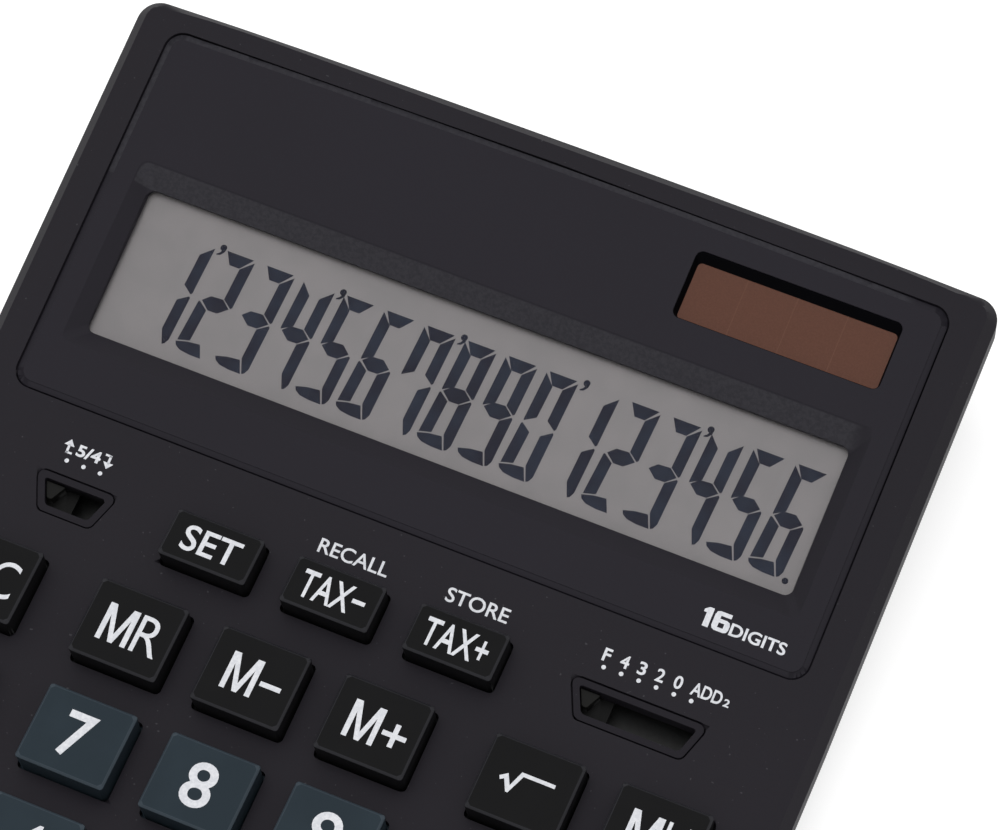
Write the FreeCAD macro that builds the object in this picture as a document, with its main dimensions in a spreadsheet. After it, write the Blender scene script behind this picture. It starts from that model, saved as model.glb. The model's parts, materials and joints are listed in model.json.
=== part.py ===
import FreeCAD, Part

import math
import os
import re

import Sketcher
from FreeCAD import Placement, Rotation, Vector

# A desktop calculator with a sloping key deck and a steeper display section.
# Millimetres and degrees. The table top is z = 0, x runs to the right and y to the rear.
#
# Three slopes meet in this case, and each has its own frame. All three turn about the bend,
# the level line where the key deck meets the display section:
#   deck     the key deck, with z along its normal. The parting plane, the board, the
#            screws and the travel of the keys all follow it.
#   display  the display section, with z along its normal.
#   base     level, with z = 0 on the outer face of the case's underside.

SIZES = {
    # The case from outside. Depths are measured along the deck's own slope.
    "case_width": 155,
    "case_depth": 202,
    "display_reach": 79.5,
    "case_corner": 4,
    "rear_bow": 0.9,
    "front_height": 13,
    "deck_tilt": 3.5,
    "display_tilt": 11,
    "wall": 2,
    "shoulder": 1.8,
    "base_edge": 1.2,
    "parting_drop": 6.4,
    "lip_rise": 1.8,
    "lip_gap": 0.15,
    "tub_draft": 12,
    "tub_corner": 2.4,
    "foot_rise": 2,
    # The key field.
    "column_pitch": 21.6,
    "block_gap": 4.5,
    "row_pitch": 19.5,
    "first_row": 25.3,
    "top_row": 7.25,
    "top_row_shift": 6.3,
    "key_width": 15.45,
    "key_depth": 13.6,
    "top_key_depth": 8.6,
    "key_corner": 0.8,
    "key_front": 5,
    "key_rear": 4.3,
    "key_edge": 0.35,
    "key_skirt": 1.2,
    "key_gap": 0.35,
    "key_play": 0.3,
    "flange_reach": 0.8,
    "flange_thickness": 1,
    "plunger_size": 5,
    "plunger_web": 1.4,
    "plunger_reach": 0.9,
    # The rubber mat and the board under the keys.
    "dome_play": 0.1,
    "dome_rise": 2,
    "dome_size": 6.4,
    "dome_wall": 0.6,
    "mat_sheet": 0.8,
    "board_thickness": 1.2,
    "board_margin": 0.6,
    "board_tail": 6,
    "post_size": 4.4,
    "post_gap": 0.3,
    "board_screw": 2,
    "board_screw_head": 3.8,
    "screw_head_height": 1.3,
    "thread_gap": 0.05,
    "chip_size": 11,
    "chip_rise": 1.1,
    # The case screws.
    "screw_column": 67.5,
    "front_screw_inset": 7.5,
    "rear_screw_inset": 11,
    "case_boss": 5,
    "lower_boss": 6,
    "case_screw": 2,
    "case_screw_head": 4.2,
    "case_screw_seat": 2,
    "screw_bite": 3.6,
    "head_gap": 0.2,
    "boss_gap": 0.1,
    # The two slide switches.
    "switch_front": 10.7,
    "switch_rear": 3.65,
    "switch_left_slant": 3.3,
    "switch_right_slant": 2.2,
    "switch_rim": 1.3,
    "rounding_left": -60,
    "rounding_right": -44.9,
    "decimal_left": 35.3,
    "decimal_right": 59.4,
    "surround_gap": 0.15,
    "surround_sink": 0.1,
    "surround_flange": 0.8,
    "surround_reach": 1.2,
    "knob_width": 3.6,
    "knob_reach": 2.8,
    "knob_sink": 0.9,
    "knob_plate": 0.8,
    "knob_plate_length": 8,
    "knob_stem": 2.4,
    "slide_play": 0.2,
    "wiper_leaf": 0.3,
    "switch_base_wall": 1,
    # The display panel, the window and what lies behind them.
    "panel_width": 141.2,
    "panel_front": 8,
    "panel_rear": 75.6,
    "panel_corner": 3.3,
    "panel_thickness": 1.6,
    "panel_seam": 0.15,
    "panel_edge": 0.25,
    "ledge_thickness": 2,
    "ledge_reach": 1.4,
    "window_width": 125.8,
    "window_front": 21.25,
    "window_rear": 47.8,
    "bevel_side": 2.8,
    "bevel_front": 3.5,
    "bevel_rear": 3.9,
    "window_depth": 2.4,
    "bezel_lip": 0.6,
    "bezel_wall": 3.2,
    "bezel_gap": 0.3,
    "lens_thickness": 1.1,
    "lens_overlap": 1.6,
    "glass_thickness": 1.05,
    "glass_ledge": 2.2,
    "glass_gap": 0.2,
    "holder_floor": 1,
    "holder_lip": 2.4,
    "ribbon_width": 56,
    "ribbon_thickness": 0.3,
    "solar_width": 35.1,
    "solar_height": 10.3,
    "solar_right": 63.3,
    "solar_front": 58.1,
    "solar_corner": 0.8,
    "cell_overlap": 1,
    "cell_thickness": 1.1,
    # The button cell and its door in the base.
    "door_width": 36,
    "door_height": 20,
    "door_thickness": 1.8,
    "door_gap": 0.2,
    "door_ledge": 1.2,
    "door_x": 36,
    "door_y": 42,
    "well_wall": 1.4,
    "well_height": 9.4,
    "door_boss": 7,
    "coin_size": 11.6,
    "coin_height": 5.4,
    "contact_leaf": 0.3,
    # The feet.
    "foot_size": 10,
    "foot_sink": 0.8,
    "foot_gap": 0.2,
    "foot_x": 60,
    "foot_inset": 14,
}

# Sizes that follow from the ones above.
DERIVED = {
    "deck_length": "case_depth - display_reach",
    "bend_height": "front_height + deck_length * sin(deck_tilt)",
    "base_drop": "bend_height - foot_rise",
    "rear_drop": "(base_drop + display_reach * sin(deck_tilt)) / cos(deck_tilt)",
    "bend_y": "((deck_length - display_reach) * cos(deck_tilt) - rear_drop * sin(deck_tilt)) / 2",
    "fold": "display_tilt - deck_tilt",
    "core_rear": "display_reach - rear_bow - wall",
    "rear_rise": "display_reach * tan(fold)",
    "bow_radius": "((case_width / 2) ^ 2 + rear_bow ^ 2) / (2 * rear_bow)",
    "flange_top": "0 - wall - key_play",
    "flange_low": "flange_top - flange_thickness",
    "plunger_low": "flange_low - plunger_reach",
    "dome_top": "plunger_low - dome_play",
    "sheet_top": "dome_top - dome_rise",
    "board_top": "sheet_top - mat_sheet",
    "board_low": "board_top - board_thickness",
    "board_half": "2.5 * column_pitch + block_gap + key_width / 2 + flange_reach + board_margin / 2",
    "board_front": "0 - first_row - 4 * row_pitch - key_depth / 2 - flange_reach - board_margin",
    "screw_seat": "0 - parting_drop - case_screw_seat",
    "surround_low": "0 - wall - surround_flange",
    "plate_top": "surround_low - slide_play",
    "plate_low": "plate_top - knob_plate",
    "switch_base_top": "plate_low - slide_play",
    "panel_half": "panel_width / 2",
    "ledge_low": "0 - panel_thickness - ledge_thickness",
    "bezel_low": "0 - window_depth - bezel_lip",
    "lens_low": "bezel_low - lens_thickness",
    "glass_top": "lens_low - glass_gap",
    "glass_low": "glass_top - 2 * glass_thickness",
    "holder_low": "glass_low - holder_floor",
    "lens_half": "window_width / 2 + lens_overlap",
    "lens_front": "window_front - lens_overlap",
    "lens_rear": "window_rear + lens_overlap",
    "bezel_half": "lens_half + bezel_wall",
    "bezel_front": "lens_front - bezel_wall - glass_ledge",
    "bezel_rear": "lens_rear + bezel_wall",
    "solar_left": "solar_right - solar_width",
    "solar_rear": "solar_front + solar_height",
    "door_left": "door_x - door_width / 2",
    "door_right": "door_x + door_width / 2",
    "door_front": "door_y - door_height / 2",
    "door_rear": "door_y + door_height / 2",
    "coin_x": "door_left + door_ledge + coin_size / 2 + 1",
}

# The columns of keys, from the left, in steps of the pitch from the middle of the case.
# The first column and the last two stand a block gap apart from the rest.
COLUMNS = [
    "-2.5 * column_pitch - block_gap",
    "-1.5 * column_pitch",
    "-0.5 * column_pitch",
    "0.5 * column_pitch",
    "1.5 * column_pitch + block_gap",
    "2.5 * column_pitch + block_gap",
]
TOP_ROW = ["key_set", "key_tax_minus", "key_tax_plus"]
ROWS = [
    ["key_mc", "key_mr", "key_m_minus", "key_m_plus", "key_root", "key_mu"],
    ["key_shift", "key_7", "key_8", "key_9", "key_percent", "key_gt"],
    ["key_sign", "key_4", "key_5", "key_6", "key_times", "key_divide"],
    ["key_c", "key_1", "key_2", "key_3", "key_plus", "key_minus"],
    ["key_ac", "key_0", "key_00", "key_point", None, "key_equals"],
]
TALL_KEY = "key_plus"

doc = FreeCAD.newDocument("desktop_calculator")
sheet = doc.addObject("Spreadsheet::Sheet", "Sizes")
for line, (size_name, size) in enumerate(SIZES.items(), 1):
    sheet.set(f"A{line}", size_name)
    sheet.set(f"B{line}", str(size))
    sheet.setAlias(f"B{line}", size_name)
doc.recompute()


def spell(text):
    """Write out derived sizes and point every named size at its cell."""

    def word(match):
        name = match.group()
        if name in DERIVED:
            return "(" + spell(DERIVED[name]) + ")"
        return "Sizes." + name if name in SIZES else name

    return re.sub(r"[a-z][a-z_]+", word, str(text))


def value(text):
    return float(sheet.evalExpression(spell(text)))


def bind(thing, prop, text):
    thing.setExpression(prop, spell(text))


FRAMES = {
    "deck": ("bend_y", "bend_height", "deck_tilt"),
    "display": ("bend_y", "bend_height", "display_tilt"),
    "base": ("bend_y", "foot_rise", "0"),
}


def new_body(name, frame="deck", across="0", along="0"):
    """A body in one of the three frames, moved across and along that frame's own plane."""
    y, z, tilt = FRAMES[frame]
    made = doc.addObject("PartDesign::Body", name)
    made.Label = name
    made.Placement = Placement(Vector(), Rotation(Vector(1, 0, 0), 1))
    bind(made, "Placement.Rotation.Angle", tilt)
    bind(made, "Placement.Base.x", across)
    bind(made, "Placement.Base.y", f"{y} + ({along}) * cos({tilt})")
    bind(made, "Placement.Base.z", f"{z} + ({along}) * sin({tilt})")
    return made


def sketch_on(body, name, lift="0", turn="0", role="XY_Plane"):
    """A sketch on an origin plane, turned about the x axis and then lifted along its normal."""
    made = body.newObject("Sketcher::SketchObject", name)
    plane = next(f for f in body.Origin.OriginFeatures if f.Role == role)
    made.AttachmentSupport = [(plane, "")]
    made.MapMode = "FlatFace"
    made.AttachmentOffset = Placement(Vector(), Rotation(Vector(1, 0, 0), 1))
    bind(made, "AttachmentOffset.Rotation.Angle", turn)
    bind(made, "AttachmentOffset.Base.y", f"-sin({turn}) * ({lift})")
    bind(made, "AttachmentOffset.Base.z", f"cos({turn}) * ({lift})")
    return made


def pin_point(sketch, geometry, end, x, y):
    """Hold one point of a sketch at its distances from the sketch's origin."""
    for kind, text in (("DistanceX", x), ("DistanceY", y)):
        index = sketch.addConstraint(
            Sketcher.Constraint(kind, -1, 1, geometry, end, value(text))
        )
        bind(sketch, f"Constraints[{index}]", text)


def polygon(sketch, points):
    """A closed outline of straight lines through points given as named sizes."""
    spots = [Vector(value(x), value(y), 0) for x, y in points]
    first = sketch.GeometryCount
    for start, end in zip(spots, spots[1:] + spots[:1]):
        sketch.addGeometry(Part.LineSegment(start, end))
    for step in range(len(spots)):
        after = (step + 1) % len(spots)
        sketch.addConstraint(Sketcher.Constraint("Coincident", first + step, 2, first + after, 1))
    for step, (x, y) in enumerate(points):
        pin_point(sketch, first + step, 1, x, y)


def rectangle(sketch, left, front, right, rear):
    polygon(sketch, [(left, front), (right, front), (right, rear), (left, rear)])


def circle(sketch, x, y, diameter):
    shape = Part.Circle(Vector(value(x), value(y), 0), Vector(0, 0, 1), value(diameter) / 2)
    ring = sketch.addGeometry(shape)
    index = sketch.addConstraint(Sketcher.Constraint("Diameter", ring, value(diameter)))
    bind(sketch, f"Constraints[{index}]", diameter)
    pin_point(sketch, ring, 3, x, y)


def rounded_outline(sketch, half, front, rear, corner, bow):
    """A rectangle with rounded corners whose rear side is an arc of the radius named bow.

    rear is where that arc crosses the middle. The front side is straight.
    """
    w, lo, hi = value(half), value(front), value(rear)
    r, big = value(corner), value(bow)
    hub = hi - big
    tall = hub + math.sqrt((big - r) ** 2 - (w - r) ** 2)
    lean = math.atan2(tall - hub, w - r)
    up = Vector(0, 0, 1)

    def arc(x, y, radius, start, end):
        return Part.ArcOfCircle(Part.Circle(Vector(x, y, 0), up, radius), start, end)

    quarter = math.pi / 2
    sides = [
        Part.LineSegment(Vector(r - w, lo, 0), Vector(w - r, lo, 0)),
        arc(w - r, lo + r, r, -quarter, 0),
        Part.LineSegment(Vector(w, lo + r, 0), Vector(w, tall, 0)),
        arc(w - r, tall, r, 0, lean),
        arc(0, hub, big, lean, math.pi - lean),
        arc(r - w, tall, r, math.pi - lean, math.pi),
        Part.LineSegment(Vector(-w, tall, 0), Vector(-w, lo + r, 0)),
        arc(r - w, lo + r, r, math.pi, 3 * quarter),
    ]
    first = sketch.GeometryCount
    sketch.addGeometry(sides)
    for step in range(8):
        after = (step + 1) % 8
        sketch.addConstraint(Sketcher.Constraint("Tangent", first + step, 2, first + after, 1))
    sketch.addConstraint(Sketcher.Constraint("Horizontal", first))
    for side in (2, 6):
        sketch.addConstraint(Sketcher.Constraint("Vertical", first + side))
    for side, radius in ((1, corner), (3, corner), (4, bow), (5, corner), (7, corner)):
        index = sketch.addConstraint(
            Sketcher.Constraint("Radius", first + side, value(radius))
        )
        bind(sketch, f"Constraints[{index}]", radius)
    places = [
        ("DistanceY", 0, 1, front),
        ("DistanceX", 2, 1, half),
        ("DistanceX", 6, 1, f"-({half})"),
        ("DistanceX", 4, 3, "0"),
        ("DistanceY", 4, 3, f"({rear}) - ({bow})"),
    ]
    for kind, side, end, text in places:
        index = sketch.addConstraint(
            Sketcher.Constraint(kind, -1, 1, first + side, end, value(text))
        )
        bind(sketch, f"Constraints[{index}]", text)


def case_outline(sketch, inset):
    rounded_outline(
        sketch,
        f"case_width / 2 - ({inset})",
        f"({inset}) - deck_length",
        f"display_reach - ({inset})",
        f"case_corner - ({inset})",
        f"bow_radius - ({inset})",
    )


def pad(body, name, sketch, length, down=False):
    made = body.newObject("PartDesign::Pad", name)
    made.Profile = sketch
    made.Reversed = down
    bind(made, "Length", length)
    sketch.Visibility = False
    return made


def pocket(body, name, sketch, length):
    made = body.newObject("PartDesign::Pocket", name)
    made.Profile = sketch
    bind(made, "Length", length)
    return made


def trim(body, name, drop, beyond):
    """Cut away what lies past a bent surface, a given drop below both slopes of the top."""
    side = sketch_on(body, name + "_sketch", role="YZ_Plane")
    front, rear = "(-deck_length - wall)", "(display_reach + wall)"
    fold_y = f"({drop}) * (1 - 1 / cos(fold)) / tan(fold)"
    polygon(
        side,
        [
            (front, drop),
            (fold_y, drop),
            (rear, f"{rear} * tan(fold) + ({drop}) / cos(fold)"),
            (rear, beyond),
            (front, beyond),
        ],
    )
    return pocket_through(body, name, side)


def pocket_through(body, name, sketch):
    made = body.newObject("PartDesign::Pocket", name)
    made.Profile = sketch
    made.Type = "ThroughAll"
    made.Midplane = True
    return made


def add_box(body, name, corners, low, high, turn="0"):
    base = sketch_on(body, name + "_sketch", low, turn)
    rectangle(base, *corners)
    return pad(body, name, base, f"({high}) - ({low})")


def cut_box(body, name, corners, low, high, turn="0"):
    top = sketch_on(body, name + "_sketch", high, turn)
    rectangle(top, *corners)
    return pocket(body, name, top, f"({high}) - ({low})")


def add_rounds(body, name, places, diameter, low, high, turn="0"):
    base = sketch_on(body, name + "_sketch", low, turn)
    for x, y in places:
        circle(base, x, y, diameter)
    return pad(body, name, base, f"({high}) - ({low})")


def cut_rounds(body, name, places, diameter, low, high, turn="0"):
    top = sketch_on(body, name + "_sketch", high, turn)
    for x, y in places:
        circle(top, x, y, diameter)
    return pocket(body, name, top, f"({high}) - ({low})")


def edges_where(feature, test):
    """Names of the edges of a feature whose middle point and direction pass a test."""
    doc.recompute()
    found = []
    for number, edge in enumerate(feature.Shape.Edges, 1):
        first, last = edge.FirstParameter, edge.LastParameter
        middle = (first + last) / 2
        if test(edge.valueAt(middle), edge.tangentAt(middle)):
            found.append(f"Edge{number}")
    return found


def fillet(body, name, feature, test, radius):
    names = edges_where(feature, test)
    made = body.newObject("PartDesign::Fillet", name)
    made.Base = (feature, names)
    bind(made, "Radius", radius)
    return made


def chamfer(body, name, feature, test, size):
    names = edges_where(feature, test)
    made = body.newObject("PartDesign::Chamfer", name)
    made.Base = (feature, names)
    bind(made, "Size", size)
    return made


def hollow(body, name, feature, is_open):
    """Leave a wall inside every face of a solid apart from the open ones."""
    doc.recompute()
    faces = feature.Shape.Faces
    made = body.newObject("PartDesign::Thickness", name)
    made.Base = (feature, [f"Face{n}" for n, face in enumerate(faces, 1) if is_open(face)])
    made.Reversed = True
    made.Join = "Intersection"
    bind(made, "Value", "wall")
    return made


def cut_core(body, name, points):
    """Hollow a case half out from the parting plane with a side profile, a wall in from each side."""
    side = sketch_on(body, name + "_sketch", role="YZ_Plane")
    polygon(side, points)
    core = body.newObject("PartDesign::Pocket", name)
    core.Profile = side
    core.Midplane = True
    bind(core, "Length", "case_width - 2 * wall")


def repeat(body, name, feature, runs):
    """Repeat a feature along the x or y axis: each run is an axis, a pitch and a count."""
    made = body.newObject("PartDesign::MultiTransform", name)
    made.Originals = [feature]
    steps = []
    for axis, pitch, count in runs:
        line = next(f for f in body.Origin.OriginFeatures if f.Role == axis)
        step = body.newObject("PartDesign::LinearPattern", f"{name}_{axis[0]}")
        step.Direction = (line, [""])
        step.Reversed = axis == "Y_Axis"
        bind(step, "Length", f"({pitch}) * {count - 1}")
        step.Occurrences = count
        steps.append(step)
    made.Transformations = steps
    made.Refine = False
    body.Tip = made
    return made


def over_grid(body, name, make):
    """Make one feature for each block of the key grid and repeat it at every key there."""
    across, down = ("X_Axis", "column_pitch"), ("Y_Axis", "row_pitch")
    blocks = [
        ("memory", COLUMNS[0], "first_row", "key_depth", [(*down, 5)]),
        ("digit", COLUMNS[1], "first_row", "key_depth", [(*across, 3), (*down, 5)]),
        ("operator", COLUMNS[4], "first_row", "key_depth", [(*across, 2), (*down, 5)]),
        ("top", f"{COLUMNS[1]} + top_row_shift", "top_row", "top_key_depth", [(*across, 3)]),
    ]
    for block, x, row, depth, runs in blocks:
        feature = make(f"{name}_{block}", x, f"-{row}", depth)
        doc.recompute()
        repeat(body, f"{name}_{block}_grid", feature, runs)


def key_opening(sketch, x, y, depth):
    rectangle(
        sketch,
        f"{x} - key_width / 2 - key_gap",
        f"{y} - ({depth}) / 2 - key_gap",
        f"{x} + key_width / 2 + key_gap",
        f"{y} + ({depth}) / 2 + key_gap",
    )


def switch_outline(sketch, left, right, inset):
    """The trapezium of a switch, drawn in from its outer edge by an even margin."""

    def end(slant):
        lean = f"({slant} / (switch_front - switch_rear))"
        side = f"({inset}) * sqrt(1 + {lean} ^ 2)"
        return f"({side} + {slant} - {lean} * ({inset}))", f"({side} + {lean} * ({inset}))"

    (left_front, left_rear), (right_front, right_rear) = (
        end("switch_left_slant"),
        end("switch_right_slant"),
    )
    polygon(
        sketch,
        [
            (f"{left} + {left_front}", f"-switch_front + ({inset})"),
            (f"{right} - {right_front}", f"-switch_front + ({inset})"),
            (f"{right} - {right_rear}", f"-switch_rear - ({inset})"),
            (f"{left} + {left_rear}", f"-switch_rear - ({inset})"),
        ],
    )


SWITCHES = {
    "rounding": ("rounding_left", "rounding_right"),
    "decimal": ("decimal_left", "decimal_right"),
}

CASE_SCREWS = [
    (f"{side} * screw_column", along)
    for along in ("front_screw_inset - deck_length", "display_reach - rear_screw_inset")
    for side in (-1, 1)
]

POST_COLUMNS = ["-2 * column_pitch - block_gap / 2", "column_pitch + block_gap / 2"]
POST_ROWS = [f"-first_row - {step} * row_pitch" for step in (0.5, 3.5)]
BOARD_POSTS = [(x, y) for y in POST_ROWS for x in POST_COLUMNS]

FEET = [
    (f"{side} * foot_x", along)
    for along in (
        "foot_inset - deck_length * cos(deck_tilt)",
        "display_reach * cos(deck_tilt) - foot_inset",
    )
    for side in (-1, 1)
]


def upper_case():
    """The upper housing: one moulded shell with both slopes, its ledges, openings and bosses."""
    body = new_body("upper_case")
    outline = sketch_on(body, "upper_outline", "-parting_drop")
    case_outline(outline, "0")
    pad(body, "upper_block", outline, "parting_drop + 2 * rear_rise")
    trim(body, "upper_top", "0", "3 * rear_rise")
    rimmed = trim(body, "upper_rim", "-parting_drop", "-3 * parting_drop")
    slope = math.tan(math.radians(value("fold")))

    def on_top(point, tangent):
        height = max(0, point.y) * slope
        return abs(point.z - height) < 0.02 and abs(point.x) + abs(point.y) > 1

    chamfer(body, "upper_shoulder", rimmed, on_top, "shoulder")
    low, front, rear = "(-parting_drop - wall)", "(wall - deck_length)", "(core_rear)"
    cut_core(
        body,
        "upper_core",
        [
            (front, low),
            (rear, low),
            (rear, f"{rear} * tan(fold) - wall / cos(fold)"),
            ("wall * (1 / cos(fold) - 1) / tan(fold)", "-wall"),
            (front, "-wall"),
        ],
    )

    # The ledge that carries the display panel, and the bosses, before the panel's seat.
    add_box(
        body,
        "panel_ledge",
        (
            "-panel_half - ledge_reach",
            "panel_front - ledge_reach",
            "panel_half + ledge_reach",
            "panel_rear + ledge_reach",
        ),
        "ledge_low",
        "-wall / 2",
        "fold",
    )
    for screw, (x, y) in enumerate(CASE_SCREWS):
        rise = f"max(0; {y}) * tan(fold) - wall / 2"
        add_rounds(body, f"boss_{screw}", [(x, y)], "case_boss", "-parting_drop", rise)
    cut_rounds(
        body,
        "boss_pilots",
        CASE_SCREWS,
        "case_screw + 2 * thread_gap",
        "-parting_drop",
        "screw_bite - parting_drop + thread_gap",
    )
    add_rounds(body, "board_posts", BOARD_POSTS, "post_size", "board_top", "-wall / 2")
    # Ribs between the rows stiffen the deck. They stop above the mat's domes.
    rib = add_box(
        body,
        "deck_rib",
        (
            "-board_half",
            "-first_row - row_pitch / 2 - plunger_web / 2",
            "board_half",
            "-first_row - row_pitch / 2 + plunger_web / 2",
        ),
        "flange_low",
        "-wall / 2",
    )
    doc.recompute()
    repeat(body, "deck_ribs", rib, [("Y_Axis", "row_pitch", 3)])
    cut_rounds(
        body,
        "post_pilots",
        BOARD_POSTS,
        "board_screw + 2 * thread_gap",
        "board_top",
        "-wall - thread_gap",
    )

    seat = sketch_on(body, "panel_seat_sketch", "shoulder", "fold")
    rounded_outline(
        seat, "panel_half", "panel_front", "panel_rear", "panel_corner", "bow_radius - wall"
    )
    pocket(body, "panel_seat", seat, "shoulder + panel_thickness")
    cut_box(
        body,
        "bezel_opening",
        (
            "-bezel_half - bezel_gap",
            "bezel_front - bezel_gap",
            "bezel_half + bezel_gap",
            "bezel_rear + bezel_gap",
        ),
        "ledge_low - wall",
        "0",
        "fold",
    )
    cell_gap = "(cell_overlap + bezel_gap)"
    cut_box(
        body,
        "solar_seat",
        (
            f"solar_left - {cell_gap}",
            f"solar_front - {cell_gap}",
            f"solar_right + {cell_gap}",
            f"solar_rear + {cell_gap}",
        ),
        "-panel_thickness - cell_thickness - glass_gap",
        "0",
        "fold",
    )

    def opening(name, x, y, depth):
        top = sketch_on(body, name + "_sketch", "shoulder")
        key_opening(top, x, y, depth)
        return pocket(body, name, top, "shoulder - flange_low")

    over_grid(body, "key_opening", opening)
    tall = sketch_on(body, "tall_opening_sketch", "shoulder")
    key_opening(
        tall,
        COLUMNS[4],
        "-first_row - 3.5 * row_pitch",
        "key_depth + row_pitch",
    )
    pocket(body, "tall_opening", tall, "shoulder - flange_low")
    for name, (left, right) in SWITCHES.items():
        hole = sketch_on(body, f"{name}_opening_sketch", "shoulder")
        switch_outline(hole, left, right, "0")
        pocket(body, f"{name}_opening", hole, "shoulder + wall + surround_flange")


def below_base(body, name):
    """Cut away everything under the level base plane."""
    side = sketch_on(body, name + "_sketch", role="YZ_Plane")

    def base_at(along):
        return f"-(base_drop + ({along}) * sin(deck_tilt)) / cos(deck_tilt)"

    front, rear, deep = "(-deck_length - wall)", "(display_reach + wall)", "-3 * rear_drop"
    polygon(side, [(front, base_at(front)), (front, deep), (rear, deep), (rear, base_at(rear))])
    return pocket_through(body, name, side)


def lower_case():
    """The lower housing: a wedge-shaped tub with its tongue, bosses, ribs and cell well."""
    body = new_body("lower_case")
    inset = "(wall + lip_gap)"
    sides = (
        f"{inset} - case_width / 2",
        f"{inset} - deck_length",
        f"case_width / 2 - {inset}",
        "core_rear - lip_gap",
    )
    add_box(body, "tub", sides, "-rear_drop - wall", "rear_rise + lip_rise")
    trim(body, "tub_top", "lip_rise - parting_drop", "3 * rear_rise")
    below_base(body, "tub_base")
    # Under the rim all four walls lean in, so the tub is out of sight from above.
    for plane, low, high in (("XZ_Plane", sides[0], sides[2]), ("YZ_Plane", sides[1], sides[3])):
        ends = sketch_on(body, f"tub_{plane}_sketch", role=plane)
        deep, lean_in = "(-parting_drop - rear_drop)", "rear_drop * tan(tub_draft)"
        for edge, way in ((low, "-"), (high, "+")):
            polygon(
                ends,
                [
                    (edge, "-parting_drop"),
                    (f"{edge} {way} wall", "-parting_drop"),
                    (f"{edge} {way} wall", deep),
                    (f"{edge} {way} (0 - {lean_in})", deep),
                ],
            )
        drafted = pocket_through(body, f"tub_draft_{plane[:2]}", ends)
    core = hollow(body, "tub_core", drafted, lambda face: face.normalAt(0, 0).z > 0.9)
    reach = value("case_depth") / 2 - value("wall") * 1.5 - value("lip_gap")
    across, middle = value(sides[2]) - 5, value("display_reach") - value("case_depth") / 2

    def at_corner(point, tangent):
        outside = abs(point.x) > across and abs(point.y - middle) > reach - 5
        return outside and abs(tangent.z) > 0.8

    cornered = chamfer(body, "tub_corners", core, at_corner, "tub_corner")
    lean = math.sin(math.radians(value("deck_tilt")))
    straight = math.cos(math.radians(value("deck_tilt")))
    drop = value("base_drop")

    def on_base(point, tangent):
        return abs(point.z * straight + point.y * lean + drop) < 0.02

    chamfer(body, "tub_edge", cornered, on_base, "base_edge")
    add_rounds(
        body, "lower_bosses", CASE_SCREWS, "lower_boss", "-rear_drop", "-parting_drop - boss_gap"
    )
    for side in (-1, 0, 1):
        add_box(
            body,
            f"board_rest_{side + 1}",
            (
                f"{side} * foot_x - wall / 2",
                "board_front",
                f"{side} * foot_x + wall / 2",
                "-top_row",
            ),
            "-rear_drop",
            "board_low - post_gap",
        )
    base_lift = "(0 - base_drop)"
    well = (
        "door_left - well_wall",
        "door_front - well_wall",
        "door_right + well_wall",
        "door_rear + well_wall",
    )
    add_box(
        body,
        "cell_well",
        well,
        f"{base_lift}",
        f"{base_lift} + well_height + well_wall",
        "0 - deck_tilt",
    )
    below_base(body, "base_trim")
    cut_box(
        body,
        "door_seat",
        (
            "door_left - door_gap",
            "door_front - door_gap",
            "door_right + door_gap",
            "door_rear + door_gap",
        ),
        f"{base_lift} - wall",
        f"{base_lift} + door_thickness",
        "0 - deck_tilt",
    )
    cut_box(
        body,
        "cell_room",
        (
            "door_left + door_ledge",
            "door_front + door_ledge",
            "door_right - door_boss",
            "door_rear - door_ledge",
        ),
        f"{base_lift} - wall",
        f"{base_lift} + well_height",
        "0 - deck_tilt",
    )
    cut_rounds(
        body,
        "door_pilot",
        [("door_right - door_boss / 2", "door_y")],
        "case_screw + 2 * thread_gap",
        f"{base_lift}",
        f"{base_lift} + door_thickness + screw_bite + thread_gap",
        "0 - deck_tilt",
    )
    cut_rounds(
        body,
        "foot_seats",
        FEET,
        "foot_size + 2 * foot_gap",
        f"{base_lift} - wall",
        f"{base_lift} + foot_sink",
        "0 - deck_tilt",
    )
    cut_rounds(
        body,
        "screw_holes",
        CASE_SCREWS,
        "case_screw + 2 * head_gap",
        "-rear_drop - wall",
        "0",
    )
    cut_rounds(
        body,
        "screw_recesses",
        CASE_SCREWS,
        "case_screw_head + 2 * head_gap",
        "-rear_drop - wall",
        "screw_seat",
    )


def screws(name, places, frame, low, high, shank, head, head_height):
    """Screws that point up: a head with its shank above it, both plain eight-sided bars."""
    body = new_body(name, frame)
    runs = (("heads", head, f"({low}) - {head_height}", low),)
    runs += (("shanks", shank, f"({low}) - {head_height} / 2", high),)
    for part, across, start, end in runs:
        foot = sketch_on(body, f"{name}_{part}_sketch", start)
        for x, y in places:
            octagon(foot, x, y, across)
        pad(body, f"{name}_{part}", foot, f"({end}) - ({start})")


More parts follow.
